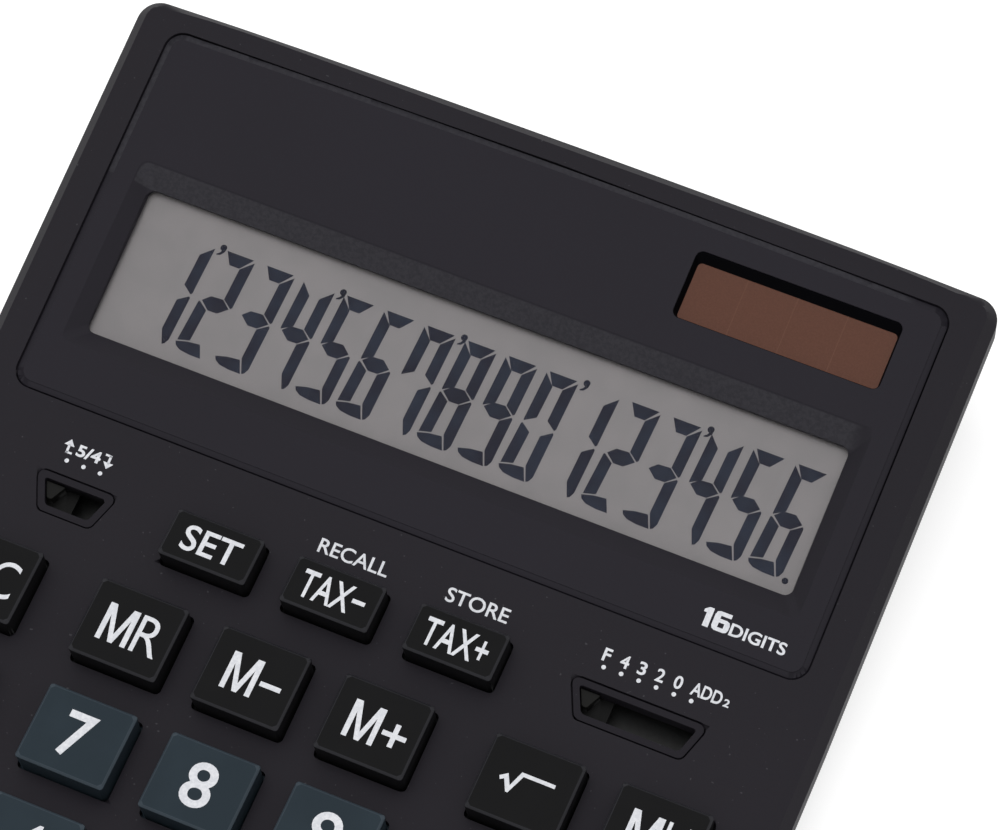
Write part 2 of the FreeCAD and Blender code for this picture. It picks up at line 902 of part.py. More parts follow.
def key_cap(name, x, y, depth):
    """One key: a tapering cap, a flange that holds it under the deck and a cross plunger."""
    body = new_body(name, "deck", x, y)
    half, reach = "(key_width / 2)", f"(({depth}) / 2)"
    skirt = sketch_on(body, name + "_outline", "flange_low")
    rectangle(skirt, f"-{half}", f"-{reach}", half, reach)
    block = pad(body, name + "_block", skirt, "key_front - flange_low")
    chamfer(
        body, name + "_corners", block, lambda point, tangent: abs(tangent.z) > 0.99, "key_corner"
    )
    side = sketch_on(body, name + "_slope_sketch", role="YZ_Plane")
    high = "(key_front + wall)"
    polygon(
        side,
        [
            (f"-{reach} - wall", f"key_front + wall * (key_front - key_rear) / ({depth})"),
            (f"{reach} + wall", f"key_rear - wall * (key_front - key_rear) / ({depth})"),
            (f"{reach} + wall", high),
            (f"-{reach} - wall", high),
        ],
    )
    sloped = pocket_through(body, name + "_slope", side)
    floor = value("key_rear") - 0.1
    chamfer(
        body,
        name + "_edge",
        sloped,
        lambda point, tangent: point.z > floor and abs(tangent.z) < 0.5,
        "key_edge",
    )
    add_box(
        body,
        name + "_flange",
        (
            f"-{half} - flange_reach",
            f"-{reach} - flange_reach",
            f"{half} + flange_reach",
            f"{reach} + flange_reach",
        ),
        "flange_low",
        "flange_top",
    )
    cut_box(
        body,
        name + "_room",
        (
            f"-{half} + key_skirt",
            f"-{reach} + key_skirt",
            f"{half} - key_skirt",
            f"{reach} - key_skirt",
        ),
        "flange_low",
        "key_rear - key_skirt",
    )
    cross = sketch_on(body, name + "_plunger_sketch", "plunger_low")
    arm, web = "(plunger_size / 2)", "(plunger_web / 2)"
    polygon(
        cross,
        [
            (f"-{arm}", f"-{web}"),
            (f"-{web}", f"-{web}"),
            (f"-{web}", f"-{arm}"),
            (web, f"-{arm}"),
            (web, f"-{web}"),
            (arm, f"-{web}"),
            (arm, web),
            (web, web),
            (web, arm),
            (f"-{web}", arm),
            (f"-{web}", web),
            (f"-{arm}", web),
        ],
    )
    pad(body, name + "_plunger", cross, "key_rear - key_skirt / 2 - plunger_low")


def keys():
    for column, name in enumerate(TOP_ROW, 1):
        key_cap(name, f"{COLUMNS[column]} + top_row_shift", "-top_row", "top_key_depth")
    for row, names in enumerate(ROWS):
        for column, name in enumerate(names):
            if name is None:
                continue
            if name == TALL_KEY:
                depth, middle = "(key_depth + row_pitch)", row + 0.5
            else:
                depth, middle = "key_depth", row
            key_cap(name, COLUMNS[column], f"-first_row - {middle} * row_pitch", depth)


def octagon(sketch, x, y, across):
    """A regular octagon with its corners on a circle of the given diameter."""
    half = f"(({across}) / 2 * cos(22.5))"
    short = f"(({across}) / 2 * sin(22.5))"
    corners = [(1, 0), (0, 1), (0, 1), (-1, 0), (-1, 0), (0, -1), (0, -1), (1, 0)]
    turns = [1, 1, -1, 1, -1, -1, 1, -1]
    points = []
    for (right, up), turn in zip(corners, turns):
        if right:
            points.append((f"{x} + {right} * {half}", f"{y} + {turn} * {short}"))
        else:
            points.append((f"{x} + {turn} * {short}", f"{y} + {up} * {half}"))
    polygon(sketch, points)


def key_mat():
    """The rubber mat: a sheet on the board with a hollow dome under every key."""
    body = new_body("key_mat")
    rear = "(top_key_depth / 2 - top_row)"
    add_box(
        body,
        "mat_sheet_block",
        ("-board_half", "board_front", "board_half", rear),
        "board_top",
        "sheet_top",
    )

    def dome(name, x, y, depth):
        foot = sketch_on(body, name + "_sketch", "sheet_top - mat_sheet / 2")
        octagon(foot, x, y, "dome_size")
        return pad(body, name, foot, "dome_rise + mat_sheet / 2")

    def room(name, x, y, depth):
        half = "((dome_size / 2 * cos(22.5) - dome_wall) / sqrt(2))"
        top = sketch_on(body, name + "_sketch", "dome_top - dome_wall")
        rectangle(top, f"{x} - {half}", f"{y} - {half}", f"{x} + {half}", f"{y} + {half}")
        return pocket(body, name, top, "dome_rise - dome_wall + mat_sheet")

    over_grid(body, "dome", dome)
    over_grid(body, "dome_room", room)
    holes = sketch_on(body, "mat_post_sketch", "dome_top")
    for x, y in BOARD_POSTS:
        octagon(holes, x, y, "(post_size + 2 * post_gap) / cos(22.5)")
    pocket(body, "mat_post_holes", holes, "dome_rise + 2 * mat_sheet")
    for name, (left, right) in SWITCHES.items():
        cut_box(
            body,
            f"{name}_notch",
            switch_base_corners(left, right, "post_gap"),
            "board_top - wall",
            "dome_top",
        )


def switch_base_corners(left, right, margin):
    grow = f"(surround_reach + {margin})"
    return (
        f"{left} - {grow}",
        f"-switch_front - {grow}",
        f"{right} + {grow}",
        f"-switch_rear + {grow}",
    )


def main_board():
    """The board under the mat, with the screw holes and the notches beside the case bosses."""
    body = new_body("main_board")
    corners = ("-board_half", "board_front", "board_half", "board_tail")
    add_box(body, "board_block", corners, "board_low", "board_top")
    cut_rounds(
        body,
        "board_holes",
        BOARD_POSTS,
        "board_screw + 2 * head_gap",
        "board_low - wall",
        "board_top",
    )


def logic_chip():
    """The processor under its flat cover on the board's underside."""
    body = new_body("logic_chip")
    half = "(chip_size / 2)"
    x, y = COLUMNS[3], "-first_row"
    corners = (f"{x} - {half}", f"{y} - {half}", f"{x} + {half}", f"{y} + {half}")
    add_box(body, "chip_block", corners, "board_low - chip_rise", "board_low")


def switch_parts(name, left, right):
    """One slide switch: the surround in the deck, the knob, its wiper and the base below."""
    surround = new_body(f"{name}_surround")
    flange = sketch_on(surround, f"{name}_flange_sketch", "surround_low")
    switch_outline(flange, left, right, "-surround_reach")
    pad(surround, f"{name}_flange", flange, "surround_flange")
    collar = sketch_on(surround, f"{name}_collar_sketch", "surround_low")
    switch_outline(collar, left, right, "surround_gap")
    pad(surround, f"{name}_collar", collar, "-surround_sink - surround_low")
    inner = sketch_on(surround, f"{name}_inner_sketch", "0")
    switch_outline(inner, left, right, "switch_rim")
    pocket(surround, f"{name}_inner", inner, "-surround_low")

    # The knob is a pointer that is wide at the rear. At rest it stands at the left end.
    knob = new_body(f"{name}_knob")
    lean = "(switch_left_slant / (switch_front - switch_rear))"
    start = (
        f"({left} + switch_rim * sqrt(1 + {lean} ^ 2) + {lean} * switch_rim + slide_play)"
    )
    middle = f"({start} + knob_width / 2)"
    rear = "(-switch_rear - switch_rim - slide_play)"
    pointer = sketch_on(knob, f"{name}_pointer_sketch", "plate_low")
    polygon(
        pointer,
        [
            (start, rear),
            (f"{middle} - knob_width / 8", f"{rear} - knob_reach"),
            (f"{middle} + knob_width / 8", f"{rear} - knob_reach"),
            (f"{start} + knob_width", rear),
        ],
    )
    pad(knob, f"{name}_pointer", pointer, "-knob_sink - plate_low")
    along = "((-switch_front - switch_rear) / 2)"
    plate_half = "(knob_plate_length / 2)"
    base_corners = switch_base_corners(left, right, "0")
    add_box(
        knob,
        f"{name}_plate",
        (
            f"{middle} - {plate_half}",
            f"{base_corners[1]} + switch_base_wall / 2",
            f"{middle} + {plate_half}",
            f"{base_corners[3]} - switch_base_wall / 2",
        ),
        "plate_low",
        "plate_top",
    )
    stem_half = "(knob_stem / 2)"
    stem_low = "(board_top + 3 * wiper_leaf)"
    add_box(
        knob,
        f"{name}_stem",
        (
            f"{middle} - {stem_half}",
            f"{along} - {stem_half}",
            f"{middle} + {stem_half}",
            f"{along} + {stem_half}",
        ),
        stem_low,
        "plate_top",
    )

    # The wiper is a bent leaf under the stem whose tip runs on the board's tracks.
    wiper = new_body(f"{name}_wiper")
    add_box(
        wiper,
        f"{name}_leaf",
        (
            f"{middle} - {stem_half}",
            f"{along} - {stem_half}",
            f"{middle} + {stem_half}",
            f"{along} + {stem_half}",
        ),
        "board_top + 2 * wiper_leaf",
        stem_low,
    )
    add_box(
        wiper,
        f"{name}_tip",
        (
            f"{middle} - {stem_half}",
            f"{along} - {stem_half}",
            f"{middle} + {stem_half}",
            f"{along} - {stem_half} + wiper_leaf",
        ),
        "board_top + wiper_leaf / 2",
        stem_low,
    )

    base = new_body(f"{name}_base")
    add_box(base, f"{name}_base_block", base_corners, "board_top", "switch_base_top")
    cut_box(
        base,
        f"{name}_base_track",
        (
            f"{base_corners[0]} + switch_base_wall",
            f"{base_corners[1]} + switch_base_wall",
            f"{base_corners[2]} - switch_base_wall",
            f"{base_corners[3]} - switch_base_wall",
        ),
        "board_top",
        "switch_base_top",
    )


def display_panel():
    """The panel in the display section: sloping window bevels, a bezel box and a solar hole."""
    body = new_body("display_panel", "display")
    plate = sketch_on(body, "plate_sketch", "-panel_thickness")
    rounded_outline(
        plate,
        "panel_half - panel_seam",
        "panel_front + panel_seam",
        "panel_rear - panel_seam",
        "panel_corner - panel_seam",
        "bow_radius - wall - panel_seam",
    )
    block = pad(body, "plate", plate, "panel_thickness")
    chamfer(
        body,
        "plate_edge",
        block,
        lambda point, tangent: abs(point.z) < 0.001,
        "panel_edge",
    )
    add_box(
        body,
        "bezel_box",
        ("-bezel_half", "bezel_front", "bezel_half", "bezel_rear"),
        "bezel_low",
        "-panel_thickness / 2",
    )
    half = "(window_width / 2)"
    window = (f"-{half}", "window_front", half, "window_rear")
    outer = sketch_on(body, "bevel_outer", "0")
    rectangle(
        outer,
        f"-{half} - bevel_side",
        "window_front - bevel_front",
        f"{half} + bevel_side",
        "window_rear + bevel_rear",
    )
    inner = sketch_on(body, "bevel_inner", "-window_depth")
    rectangle(inner, *window)
    bevels = body.newObject("PartDesign::SubtractiveLoft", "window_bevels")
    bevels.Profile = outer
    bevels.Sections = [inner]
    bevels.Ruled = True
    cut_box(body, "window_hole", window, "bezel_low - wall", "-window_depth + panel_edge")
    hole = (
        "solar_left",
        "solar_front",
        "solar_right",
        "solar_rear",
    )
    cut = cut_box(body, "solar_hole", hole, "-panel_thickness - wall", "0")
    low, high = value("solar_front") - 0.1, value("solar_rear") + 0.1
    left, right = value("solar_left") - 0.1, value("solar_right") + 0.1

    def solar_corner(point, tangent):
        inside = left < point.x < right and low < point.y < high
        return inside and abs(tangent.z) > 0.99

    fillet(body, "solar_corners", cut, solar_corner, "solar_corner")


def behind_the_panel():
    lens = new_body("display_window", "display")
    lens_corners = ("-lens_half", "lens_front", "lens_half", "lens_rear")
    add_box(lens, "lens_block", lens_corners, "lens_low", "bezel_low")

    # Two sheets of glass. The lower one stands out in front to carry the contacts.
    module = new_body("lcd_module", "display")
    middle = "(glass_top - glass_thickness)"
    add_box(module, "upper_glass", lens_corners, middle, "glass_top")
    add_box(
        module,
        "lower_glass",
        ("-lens_half", "lens_front - glass_ledge", "lens_half", "lens_rear"),
        "glass_low",
        middle,
    )

    holder = new_body("lcd_holder", "display")
    add_box(
        holder,
        "holder_block",
        ("-bezel_half", "bezel_front", "bezel_half", "bezel_rear"),
        "holder_low",
        "bezel_low",
    )
    cut_box(
        holder,
        "holder_room",
        (
            "-lens_half - glass_gap",
            "lens_front - glass_ledge - glass_gap",
            "lens_half + glass_gap",
            "lens_rear + glass_gap",
        ),
        "glass_low",
        "bezel_low",
    )
    cut_box(
        holder,
        "holder_opening",
        (
            "-lens_half + holder_lip",
            "lens_front + holder_lip",
            "lens_half - holder_lip",
            "lens_rear - holder_lip",
        ),
        "holder_low - wall",
        "glass_low",
    )
    cut_box(
        holder,
        "ribbon_notch",
        (
            "-ribbon_width / 2 - glass_gap",
            "bezel_front - wall",
            "ribbon_width / 2 + glass_gap",
            "lens_front + holder_lip",
        ),
        "holder_low - wall",
        "glass_low",
    )

    cell = new_body("solar_cell", "display")
    add_box(
        cell,
        "cell_block",
        (
            "solar_left - cell_overlap",
            "solar_front - cell_overlap",
            "solar_right + cell_overlap",
            "solar_rear + cell_overlap",
        ),
        "-panel_thickness - cell_thickness",
        "-panel_thickness",
    )


def lcd_ribbon():
    """The flat ribbon from the contacts under the glass down to the board's rear edge."""
    body = new_body("lcd_ribbon")
    side = sketch_on(body, "ribbon_sketch", role="YZ_Plane")
    start = "(lens_front - glass_ledge + glass_gap)"
    high_y = f"({start} * cos(fold) - glass_low * sin(fold))"
    high_z = f"({start} * sin(fold) + glass_low * cos(fold))"
    run = "(glass_ledge - 2 * glass_gap)"
    thick = "ribbon_thickness"
    polygon(
        side,
        [
            (f"{high_y} + {run} * cos(fold)", f"{high_z} + {run} * sin(fold)"),
            (high_y, high_z),
            ("board_tail + glass_ledge", f"board_top + {thick}"),
            ("board_tail - glass_ledge", f"board_top + {thick}"),
            ("board_tail - glass_ledge", "board_top"),
            ("board_tail + glass_ledge + glass_gap", "board_top"),
            (
                f"{high_y} + {thick} * sin(fold) + glass_gap",
                f"{high_z} - {thick} * cos(fold) + glass_gap * sin(fold)",
            ),
            (
                f"{high_y} + {run} * cos(fold) + {thick} * sin(fold)",
                f"{high_z} + {run} * sin(fold) - {thick} * cos(fold)",
            ),
        ],
    )
    strip = body.newObject("PartDesign::Pad", "ribbon")
    strip.Profile = side
    strip.Midplane = True
    bind(strip, "Length", "ribbon_width")


def battery_parts():
    """The door in the base, its screw, the button cell and the two contact leaves."""
    door = new_body("battery_door", "base")
    plate = add_box(
        door,
        "door_plate",
        ("door_left", "door_front", "door_right", "door_rear"),
        "0",
        "door_thickness",
    )
    chamfer(
        door, "door_edge", plate, lambda point, tangent: abs(point.z) < 0.001, "panel_edge"
    )
    screw_spot = [("door_right - door_boss / 2", "door_y")]
    cut_rounds(
        door,
        "door_hole",
        screw_spot,
        "case_screw + 2 * head_gap",
        "0 - wall",
        "door_thickness + wall",
    )
    cut_rounds(
        door,
        "door_recess",
        screw_spot,
        "case_screw_head + 2 * head_gap",
        "0 - wall",
        "door_thickness / 2",
    )
    screws(
        "door_screw",
        screw_spot,
        "base",
        "door_thickness / 2",
        "door_thickness + screw_bite",
        "case_screw",
        "case_screw_head",
        "(door_thickness / 2)",
    )
    coin = new_body("button_cell", "base")
    cell_low = "(door_thickness + glass_gap)"
    can = add_rounds(
        coin, "cell_can", [("coin_x", "door_y")], "coin_size", cell_low, f"{cell_low} + coin_height"
    )
    edge = value(cell_low)
    chamfer(
        coin, "cell_edge", can, lambda point, tangent: abs(point.z - edge) < 0.001, "panel_edge"
    )
    spring = new_body("cell_spring", "base")
    cell_top = f"({cell_low} + coin_height + glass_gap)"
    side = sketch_on(spring, "spring_sketch", role="XZ_Plane")
    leaf = "contact_leaf"
    polygon(
        side,
        [
            ("coin_x - coin_size / 4", f"{cell_top}"),
            ("coin_x + coin_size / 4", f"{cell_top}"),
            ("door_right - door_boss - glass_gap", f"well_height - {leaf}"),
            ("door_right - door_boss - glass_gap", "well_height"),
            ("coin_x + coin_size / 4", f"{cell_top} + {leaf}"),
            ("coin_x - coin_size / 4", f"{cell_top} + {leaf}"),
        ],
    )
    strip = spring.newObject("PartDesign::Pad", "spring_leaf")
    strip.Profile = side
    strip.Midplane = True
    bind(strip, "Length", "coin_size / 2")
    bind(spring, "Placement.Base.y", "bend_y + door_y")

    clip = new_body("cell_clip", "base")
    inner = "(coin_x + coin_size / 2 + glass_gap)"
    add_box(
        clip,
        "clip_leaf",
        (inner, "door_y - coin_size / 4", f"{inner} + {leaf}", "door_y + coin_size / 4"),
        "door_thickness + glass_gap",
        "door_thickness + coin_height * 0.8",
    )


def rubber_feet():
    body = new_body("rubber_feet", "base")
    add_rounds(body, "foot_discs", FEET, "foot_size", "0 - foot_rise", "foot_sink")


upper_case()
lower_case()
keys()
key_mat()
main_board()
logic_chip()
screws(
    "board_screws",
    BOARD_POSTS,
    "deck",
    "board_low",
    "-wall - 2 * thread_gap - case_screw / 2",
    "board_screw",
    "board_screw_head",
    "screw_head_height",
)
screws(
    "case_screws",
    CASE_SCREWS,
    "deck",
    "screw_seat",
    "screw_bite - parting_drop",
    "case_screw",
    "case_screw_head",
    "screw_head_height",
)
for switch_name, switch_sizes in SWITCHES.items():
    switch_parts(switch_name, *switch_sizes)
display_panel()
behind_the_panel()
lcd_ribbon()
battery_parts()
rubber_feet()
doc.recompute()

bodies = [thing for thing in doc.Objects if thing.TypeId == "PartDesign::Body"]
for thing in doc.Objects:
    if "Invalid" in thing.State or "Error" in thing.State:
        raise RuntimeError(f"{thing.Label} did not build: {thing.State}")
for made in bodies:
    if made.Shape.isNull() or not made.Shape.isValid():
        raise RuntimeError(f"{made.Label} has no valid shape")

os.makedirs("parts", exist_ok=True)
for made in bodies:
    made.Shape.exportStep(f"parts/{made.Label}.step")
print(f"{len(bodies)} parts written")
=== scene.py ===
import json
import math

import bmesh
import bpy
from mathutils import Matrix, Vector

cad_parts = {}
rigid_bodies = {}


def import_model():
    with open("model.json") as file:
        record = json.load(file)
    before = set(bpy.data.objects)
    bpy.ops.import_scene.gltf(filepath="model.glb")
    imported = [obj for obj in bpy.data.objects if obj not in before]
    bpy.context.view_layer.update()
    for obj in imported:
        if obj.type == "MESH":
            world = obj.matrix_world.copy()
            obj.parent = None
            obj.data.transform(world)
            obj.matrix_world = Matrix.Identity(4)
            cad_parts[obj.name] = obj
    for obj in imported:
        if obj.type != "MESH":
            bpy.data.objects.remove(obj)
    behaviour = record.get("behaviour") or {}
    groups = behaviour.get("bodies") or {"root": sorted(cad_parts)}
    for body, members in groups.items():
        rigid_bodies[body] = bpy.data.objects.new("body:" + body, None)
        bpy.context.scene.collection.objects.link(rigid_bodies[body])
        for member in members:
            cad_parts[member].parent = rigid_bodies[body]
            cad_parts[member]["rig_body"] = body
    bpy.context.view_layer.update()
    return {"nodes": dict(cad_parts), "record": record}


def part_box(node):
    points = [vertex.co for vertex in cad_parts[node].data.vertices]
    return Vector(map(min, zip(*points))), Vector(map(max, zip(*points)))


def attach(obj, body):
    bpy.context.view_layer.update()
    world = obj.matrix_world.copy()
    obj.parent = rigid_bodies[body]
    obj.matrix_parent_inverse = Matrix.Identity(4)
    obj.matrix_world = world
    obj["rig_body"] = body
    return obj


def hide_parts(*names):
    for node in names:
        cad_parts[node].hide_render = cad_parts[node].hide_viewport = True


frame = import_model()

# A desktop calculator seen from above its right front corner, on a plain white table.
# Two slopes meet at the bend: the key deck in front and the display section behind it.
# The scene is in metres. Sizes and outlines are in millimetres until they are multiplied by MM.

MM = 0.001
NODES = frame["nodes"]
SLOT_OF = {part["node"]: part["material_slot"] for part in frame["record"]["subparts"]}

# The slopes, in the part's own frame: how steep they are, and the line where they meet.
DECK_TILT = math.radians(3.5)
DISPLAY_TILT = math.radians(11)
BEND_Y = 20.746 * MM
BEND_Z = 20.478 * MM

# The display panel: its outline, whose rear side is a wide arc, the low rim and the seam
# round it, and the small round of its top edges.
PANEL_HALF = 70.45
PANEL_FRONT = 8.15
PANEL_REAR = 75.45
PANEL_CORNER = 3.15
PANEL_BOW = 3335.1
RIM_WIDTH = 1.15
RIM_DROP = 0.22
SEAM_WIDTH = 0.17
SEAM_DROP = 0.75
PANEL_EDGE = 0.15

# Where the window ends and the slope behind it starts, and the round of its corners.
WINDOW_REAR = 47.8
WINDOW_CORNER = 1.2

# The solar cell's opening and the bezel round it: left, front, right and rear. The bezel's
# upper edge lies a little inside its outline.
SOLAR_HOLE = (28.2, 58.1, 63.3, 68.4)
SOLAR_BEZEL = (27.5, 57.8, 63.75, 70.0)
SOLAR_HOLE_CORNER = 0.8
SOLAR_BEZEL_CORNER = 1.3
SOLAR_SINK = 1.5
BEZEL_GAP = 0.03
BEZEL_SIDE = 0.15
BEZEL_FRONT = 0.13
BEZEL_REAR = 0.2
BEZEL_TOP = -0.25

# Each switch surround's left and right side, first at its rear and then at its front, the
# groove round it and the lip that gives its opening round corners.
SURROUNDS = [(-59.76, -45.1, -56.6, -47.21), (35.54, 59.2, 38.7, 57.09)]
SURROUND_FRONT = -10.55
SURROUND_REAR = -3.8
GROOVE_WIDTH = 0.27
GROOVE_DEPTH = 1.1
GROOVE_CORNER = 1.4
LIP_GAP = 0.13
LIP_WIDTH = 0.8
LIP_DEPTH = 1.8
LIP_CORNER = 1.23
LIP_OUTER_CORNER = 0.3

# Over the deck, the upper part of a key lies above the first height and the edges of its
# top above the second.
KEY_UPPER = 3
KEY_EDGE = 3.6
KEY_CORNER = 0.3
KEY_RIM = 0.16

# A key's slanting corners are narrower than this, and these shares of them are taken off at
# its top and its foot. A face of its rim is smaller than the area.
KEY_SLANT = 2.5
TOP_SHARE = 0.6
FOOT_SHARE = 0.1
RIM_AREA = 6

# The rounds of the upper case: at its shoulder and at the corners of its openings.
SHOULDER = 1.15
OPENING_CORNER = 0.9

# How far the display's glass lies off its slope, and how far ink stands off a surface.
GLASS_FACE = -4.3
INK_LIFT = 0.02


def slope(tilt):
    """The frame of one slope: x to the right, y to the rear along it, z along its normal."""
    return Matrix.Translation((0, BEND_Y, BEND_Z)) @ Matrix.Rotation(tilt, 4, "X")


DECK = slope(DECK_TILT)
DISPLAY = slope(DISPLAY_TILT)
INTO_DECK = DECK.inverted()
INTO_DISPLAY = DISPLAY.inverted()


class Shade:
    """A socket of a shader node, with Python's arithmetic standing for Math nodes."""

    def __init__(self, board, socket):
        self.board = board
        self.socket = socket

    def _math(self, operation, *values, clamp=False):
        return self.board.node(
            "ShaderNodeMath", {"operation": operation, "use_clamp": clamp}, list(values)
        )

    def __add__(self, other):
        return self._math("ADD", self, other)

    def __sub__(self, other):
        return self._math("SUBTRACT", self, other)

    def __rsub__(self, other):
        return self._math("SUBTRACT", other, self)

    def __mul__(self, other):
        return self._math("MULTIPLY", self, other)

    __radd__ = __add__
    __rmul__ = __mul__

    def clamp(self):
        """The same, kept from 0 to 1."""
        return self._math("ADD", self, 0, clamp=True)

    def near(self, middle, reach):
        """1 within reach of a middle value, and 0 elsewhere."""
        return self._math("COMPARE", self, middle, reach)

    def above(self, low, high):
        """0 under low, 1 over high and a smooth step between."""
        return self.board.node(
            "ShaderNodeMapRange",
            {"interpolation_type": "SMOOTHSTEP"},
            [self, low, high, 0, 1],
        )


class Board:
    """The node tree of a new material, or of the world where one is given."""

    def __init__(self, name, world=None):
        self.owner = bpy.data.materials.new(name) if world is None else world
        self.owner.use_nodes = True
        self.tree = self.owner.node_tree
        self.tree.nodes.clear()

    def node(self, kind, settings=None, inputs=None, output=0):
        """Add a node: its settings are made first, then its inputs, by number or by name."""
        made = self.tree.nodes.new(kind)
        for key, setting in (settings or {}).items():
            setattr(made, key, setting)
        pairs = inputs.items() if isinstance(inputs, dict) else enumerate(inputs or [])
        for key, given in pairs:
            if isinstance(given, Shade):
                self.tree.links.new(given.socket, made.inputs[key])
            else:
                made.inputs[key].default_value = given
        return Shade(self, made.outputs[output])

    def mix(self, share, first, second):
        """A colour that goes from the first to the second as share goes from 0 to 1."""
        return self.node(
            "ShaderNodeMix",
            {"data_type": "RGBA"},
            {0: share, 6: opaque(first), 7: opaque(second)},
            output=2,
        )

    def place(self):
        """Where a point of the piece lies, in metres."""
        return self.node("ShaderNodeTexCoord", output="Object")

    def along(self, axis):
        """How far a point lies along X, Y or Z."""
        return self.node("ShaderNodeSeparateXYZ", None, [self.place()], output=axis)

    def noise(self, scale, detail, roughness):
        """Soft noise from 0 to 1, with this many waves to a metre."""
        inputs = {"Vector": self.place(), "Scale": scale, "Detail": detail, "Roughness": roughness}
        return self.node("ShaderNodeTexNoise", None, inputs)

    def bump(self, height, depth):
        """The normal of a surface that rises by a depth where height is 1."""
        inputs = {"Strength": 1, "Distance": depth * MM, "Height": height}
        return self.node("ShaderNodeBump", None, inputs)

    def surface(self, **sockets):
        """A principled shader, its sockets named with _ for a space."""
        named = {key.replace("_", " "): given for key, given in sockets.items()}
        return self.node("ShaderNodeBsdfPrincipled", None, named)

    def finish(self, shader, output="ShaderNodeOutputMaterial"):
        """Show a shader, and return the finished material or world."""
        end = self.tree.nodes.new(output)
        self.tree.links.new(shader.socket, end.inputs["Surface"])
        return self.owner


def opaque(colour):
    """A colour as a node's socket takes it."""
    return colour if isinstance(colour, Shade) else (*colour, 1)


def linear(red, green, blue):
    """A colour that is seen as these 0 to 255 values on a screen."""

    def one(level):
        level /= 255
        return level / 12.92 if level <= 0.04045 else ((level + 0.055) / 1.055) ** 2.4

    return (one(red), one(green), one(blue))


def lighter(colour, times):
    """A colour times a number, which is darker where that is below 1."""
    return tuple(min(1, part * times) for part in colour)


def uneven(board, grains, clouds, colour):
    """A colour that is slightly lighter in slow clouds, and more so on its grains."""
    tone = board.mix(clouds.above(0.35, 0.7), colour, lighter(colour, 1.1))
    return board.mix(grains.above(0.45, 0.8) * 0.6, tone, lighter(colour, 1.25))


# The finishes, each named for what it covers.


def moulded(name, colour, shine, grain=2600, depth=0.01, gloss=0.25):
    """Moulded plastic with a fine spark-eroded grain, a slow change of tone and a little dust."""
    board = Board(name)
    grains = board.noise(grain, 3, 0.6)
    clouds = board.noise(22, 2, 0.5)
    dust = board.noise(1900, 0, 0.5).above(0.83, 0.87)
    tone = board.mix(dust * 0.12, uneven(board, grains, clouds, colour), linear(150, 150, 155))
    return board.finish(
        board.surface(
            Base_Color=tone,
            Roughness=clouds * 0.1 + shine,
            Specular_IOR_Level=gloss,
            Normal=board.bump(grains, depth),
        )
    )


def panel_plastic():
    """The panel's plastic. The long slope behind the window is paler, with a coarser grain."""
    board = Board("panel_plastic")
    grains = board.noise(3000, 3, 0.6)
    coarse = board.noise(1500, 3, 0.7)
    clouds = board.noise(22, 2, 0.5)
    right, rear, up = (board.along(axis) for axis in "XYZ")
    cosine, sine = math.cos(DISPLAY_TILT), math.sin(DISPLAY_TILT)
    along = (rear - BEND_Y) * cosine + (up - BEND_Z) * sine
    height = (up - BEND_Z) * cosine - (rear - BEND_Y) * sine
    behind = along.above((WINDOW_REAR - 0.3) * MM, WINDOW_REAR * MM)
    sunk = 1 - height.above(-0.25 * MM, -0.1 * MM)
    before_end = 1 - right.above(61.5 * MM, 64.5 * MM)
    tone = uneven(board, grains, clouds, linear(31, 29, 35))
    pale = board.mix(coarse.above(0.35, 0.65), linear(43, 42, 47), linear(52, 51, 56))
    return board.finish(
        board.surface(
            Base_Color=board.mix(behind * sunk * before_end, tone, pale),
            Roughness=clouds * 0.1 + 0.46,
            Specular_IOR_Level=0.18,
            Normal=board.bump(grains, 0.01),
        )
    )


def knob_plastic():
    """The knobs' plastic, with light and shade painted by height: the pointer is painted paler
    where it stands up into the light, and the plate that slides under it darker, as painted shade.
    """
    board = Board("knob_plastic")
    grains = board.noise(2600, 3, 0.6)
    # Painted light and shade: paler with height over the knob, broken up by its grain.
    painted_light_by_height = board.along("Z").above(17.6 * MM, 19 * MM) * (grains * 0.5 + 0.6)
    return board.finish(
        board.surface(
            Base_Color=board.mix(painted_light_by_height.clamp(), linear(10, 10, 10), linear(21, 21, 20)),
            Roughness=grains * 0.1 + 0.42,
            Specular_IOR_Level=0.15,
            Normal=board.bump(grains, 0.006),
        )
    )


def key_plastic(name, colour, shine, gloss):
    """Key plastic, a little smoother than the case, with a faint polish where fingers land."""
    board = Board(name)
    grains = board.noise(4200, 2, 0.5)
    touched = board.noise(90, 3, 0.55)
    return board.finish(
        board.surface(
            Base_Color=board.mix(touched.above(0.4, 0.75), colour, lighter(colour, 1.16)),
            Roughness=shine - touched * 0.12,
            Specular_IOR_Level=gloss,
            Normal=board.bump(grains, 0.006),
        )
    )


def display_glass():
    """The display's grey reflector, with the faint mottle of its film."""
    board = Board("display_glass")
    mottle = board.noise(160, 4, 0.6)
    fibre = board.noise(2400, 2, 0.5)
    tone = board.mix(mottle.above(0.3, 0.75), linear(145, 142, 143), linear(151, 147, 148))
    tone = board.mix(fibre.above(0.55, 0.8) * 0.3, tone, linear(160, 156, 157))
    return board.finish(
        board.surface(Base_Color=tone, Roughness=fibre * 0.1 + 0.5, Specular_IOR_Level=0.2)
    )


def figure_ink():
    """The dark blue-grey of a lit segment, a little uneven as liquid crystal is."""
    board = Board("figure_ink")
    patch = board.noise(210, 3, 0.6)
    tone = board.mix(patch.above(0.3, 0.7), linear(40, 40, 51), linear(48, 53, 66))
    return board.finish(
        board.surface(Base_Color=tone, Roughness=patch * 0.1 + 0.4, Specular_IOR_Level=0.1)
    )


def clear_window():
    """A clear sheet that shows only as a thin gloss."""
    board = Board("clear_window")
    haze = board.noise(60, 2, 0.5)
    return board.finish(
        board.surface(
            Base_Color=(0.02, 0.02, 0.02, 1),
            Roughness=haze * 0.03 + 0.05,
            Alpha=haze * 0.02 + 0.04,
        )
    )


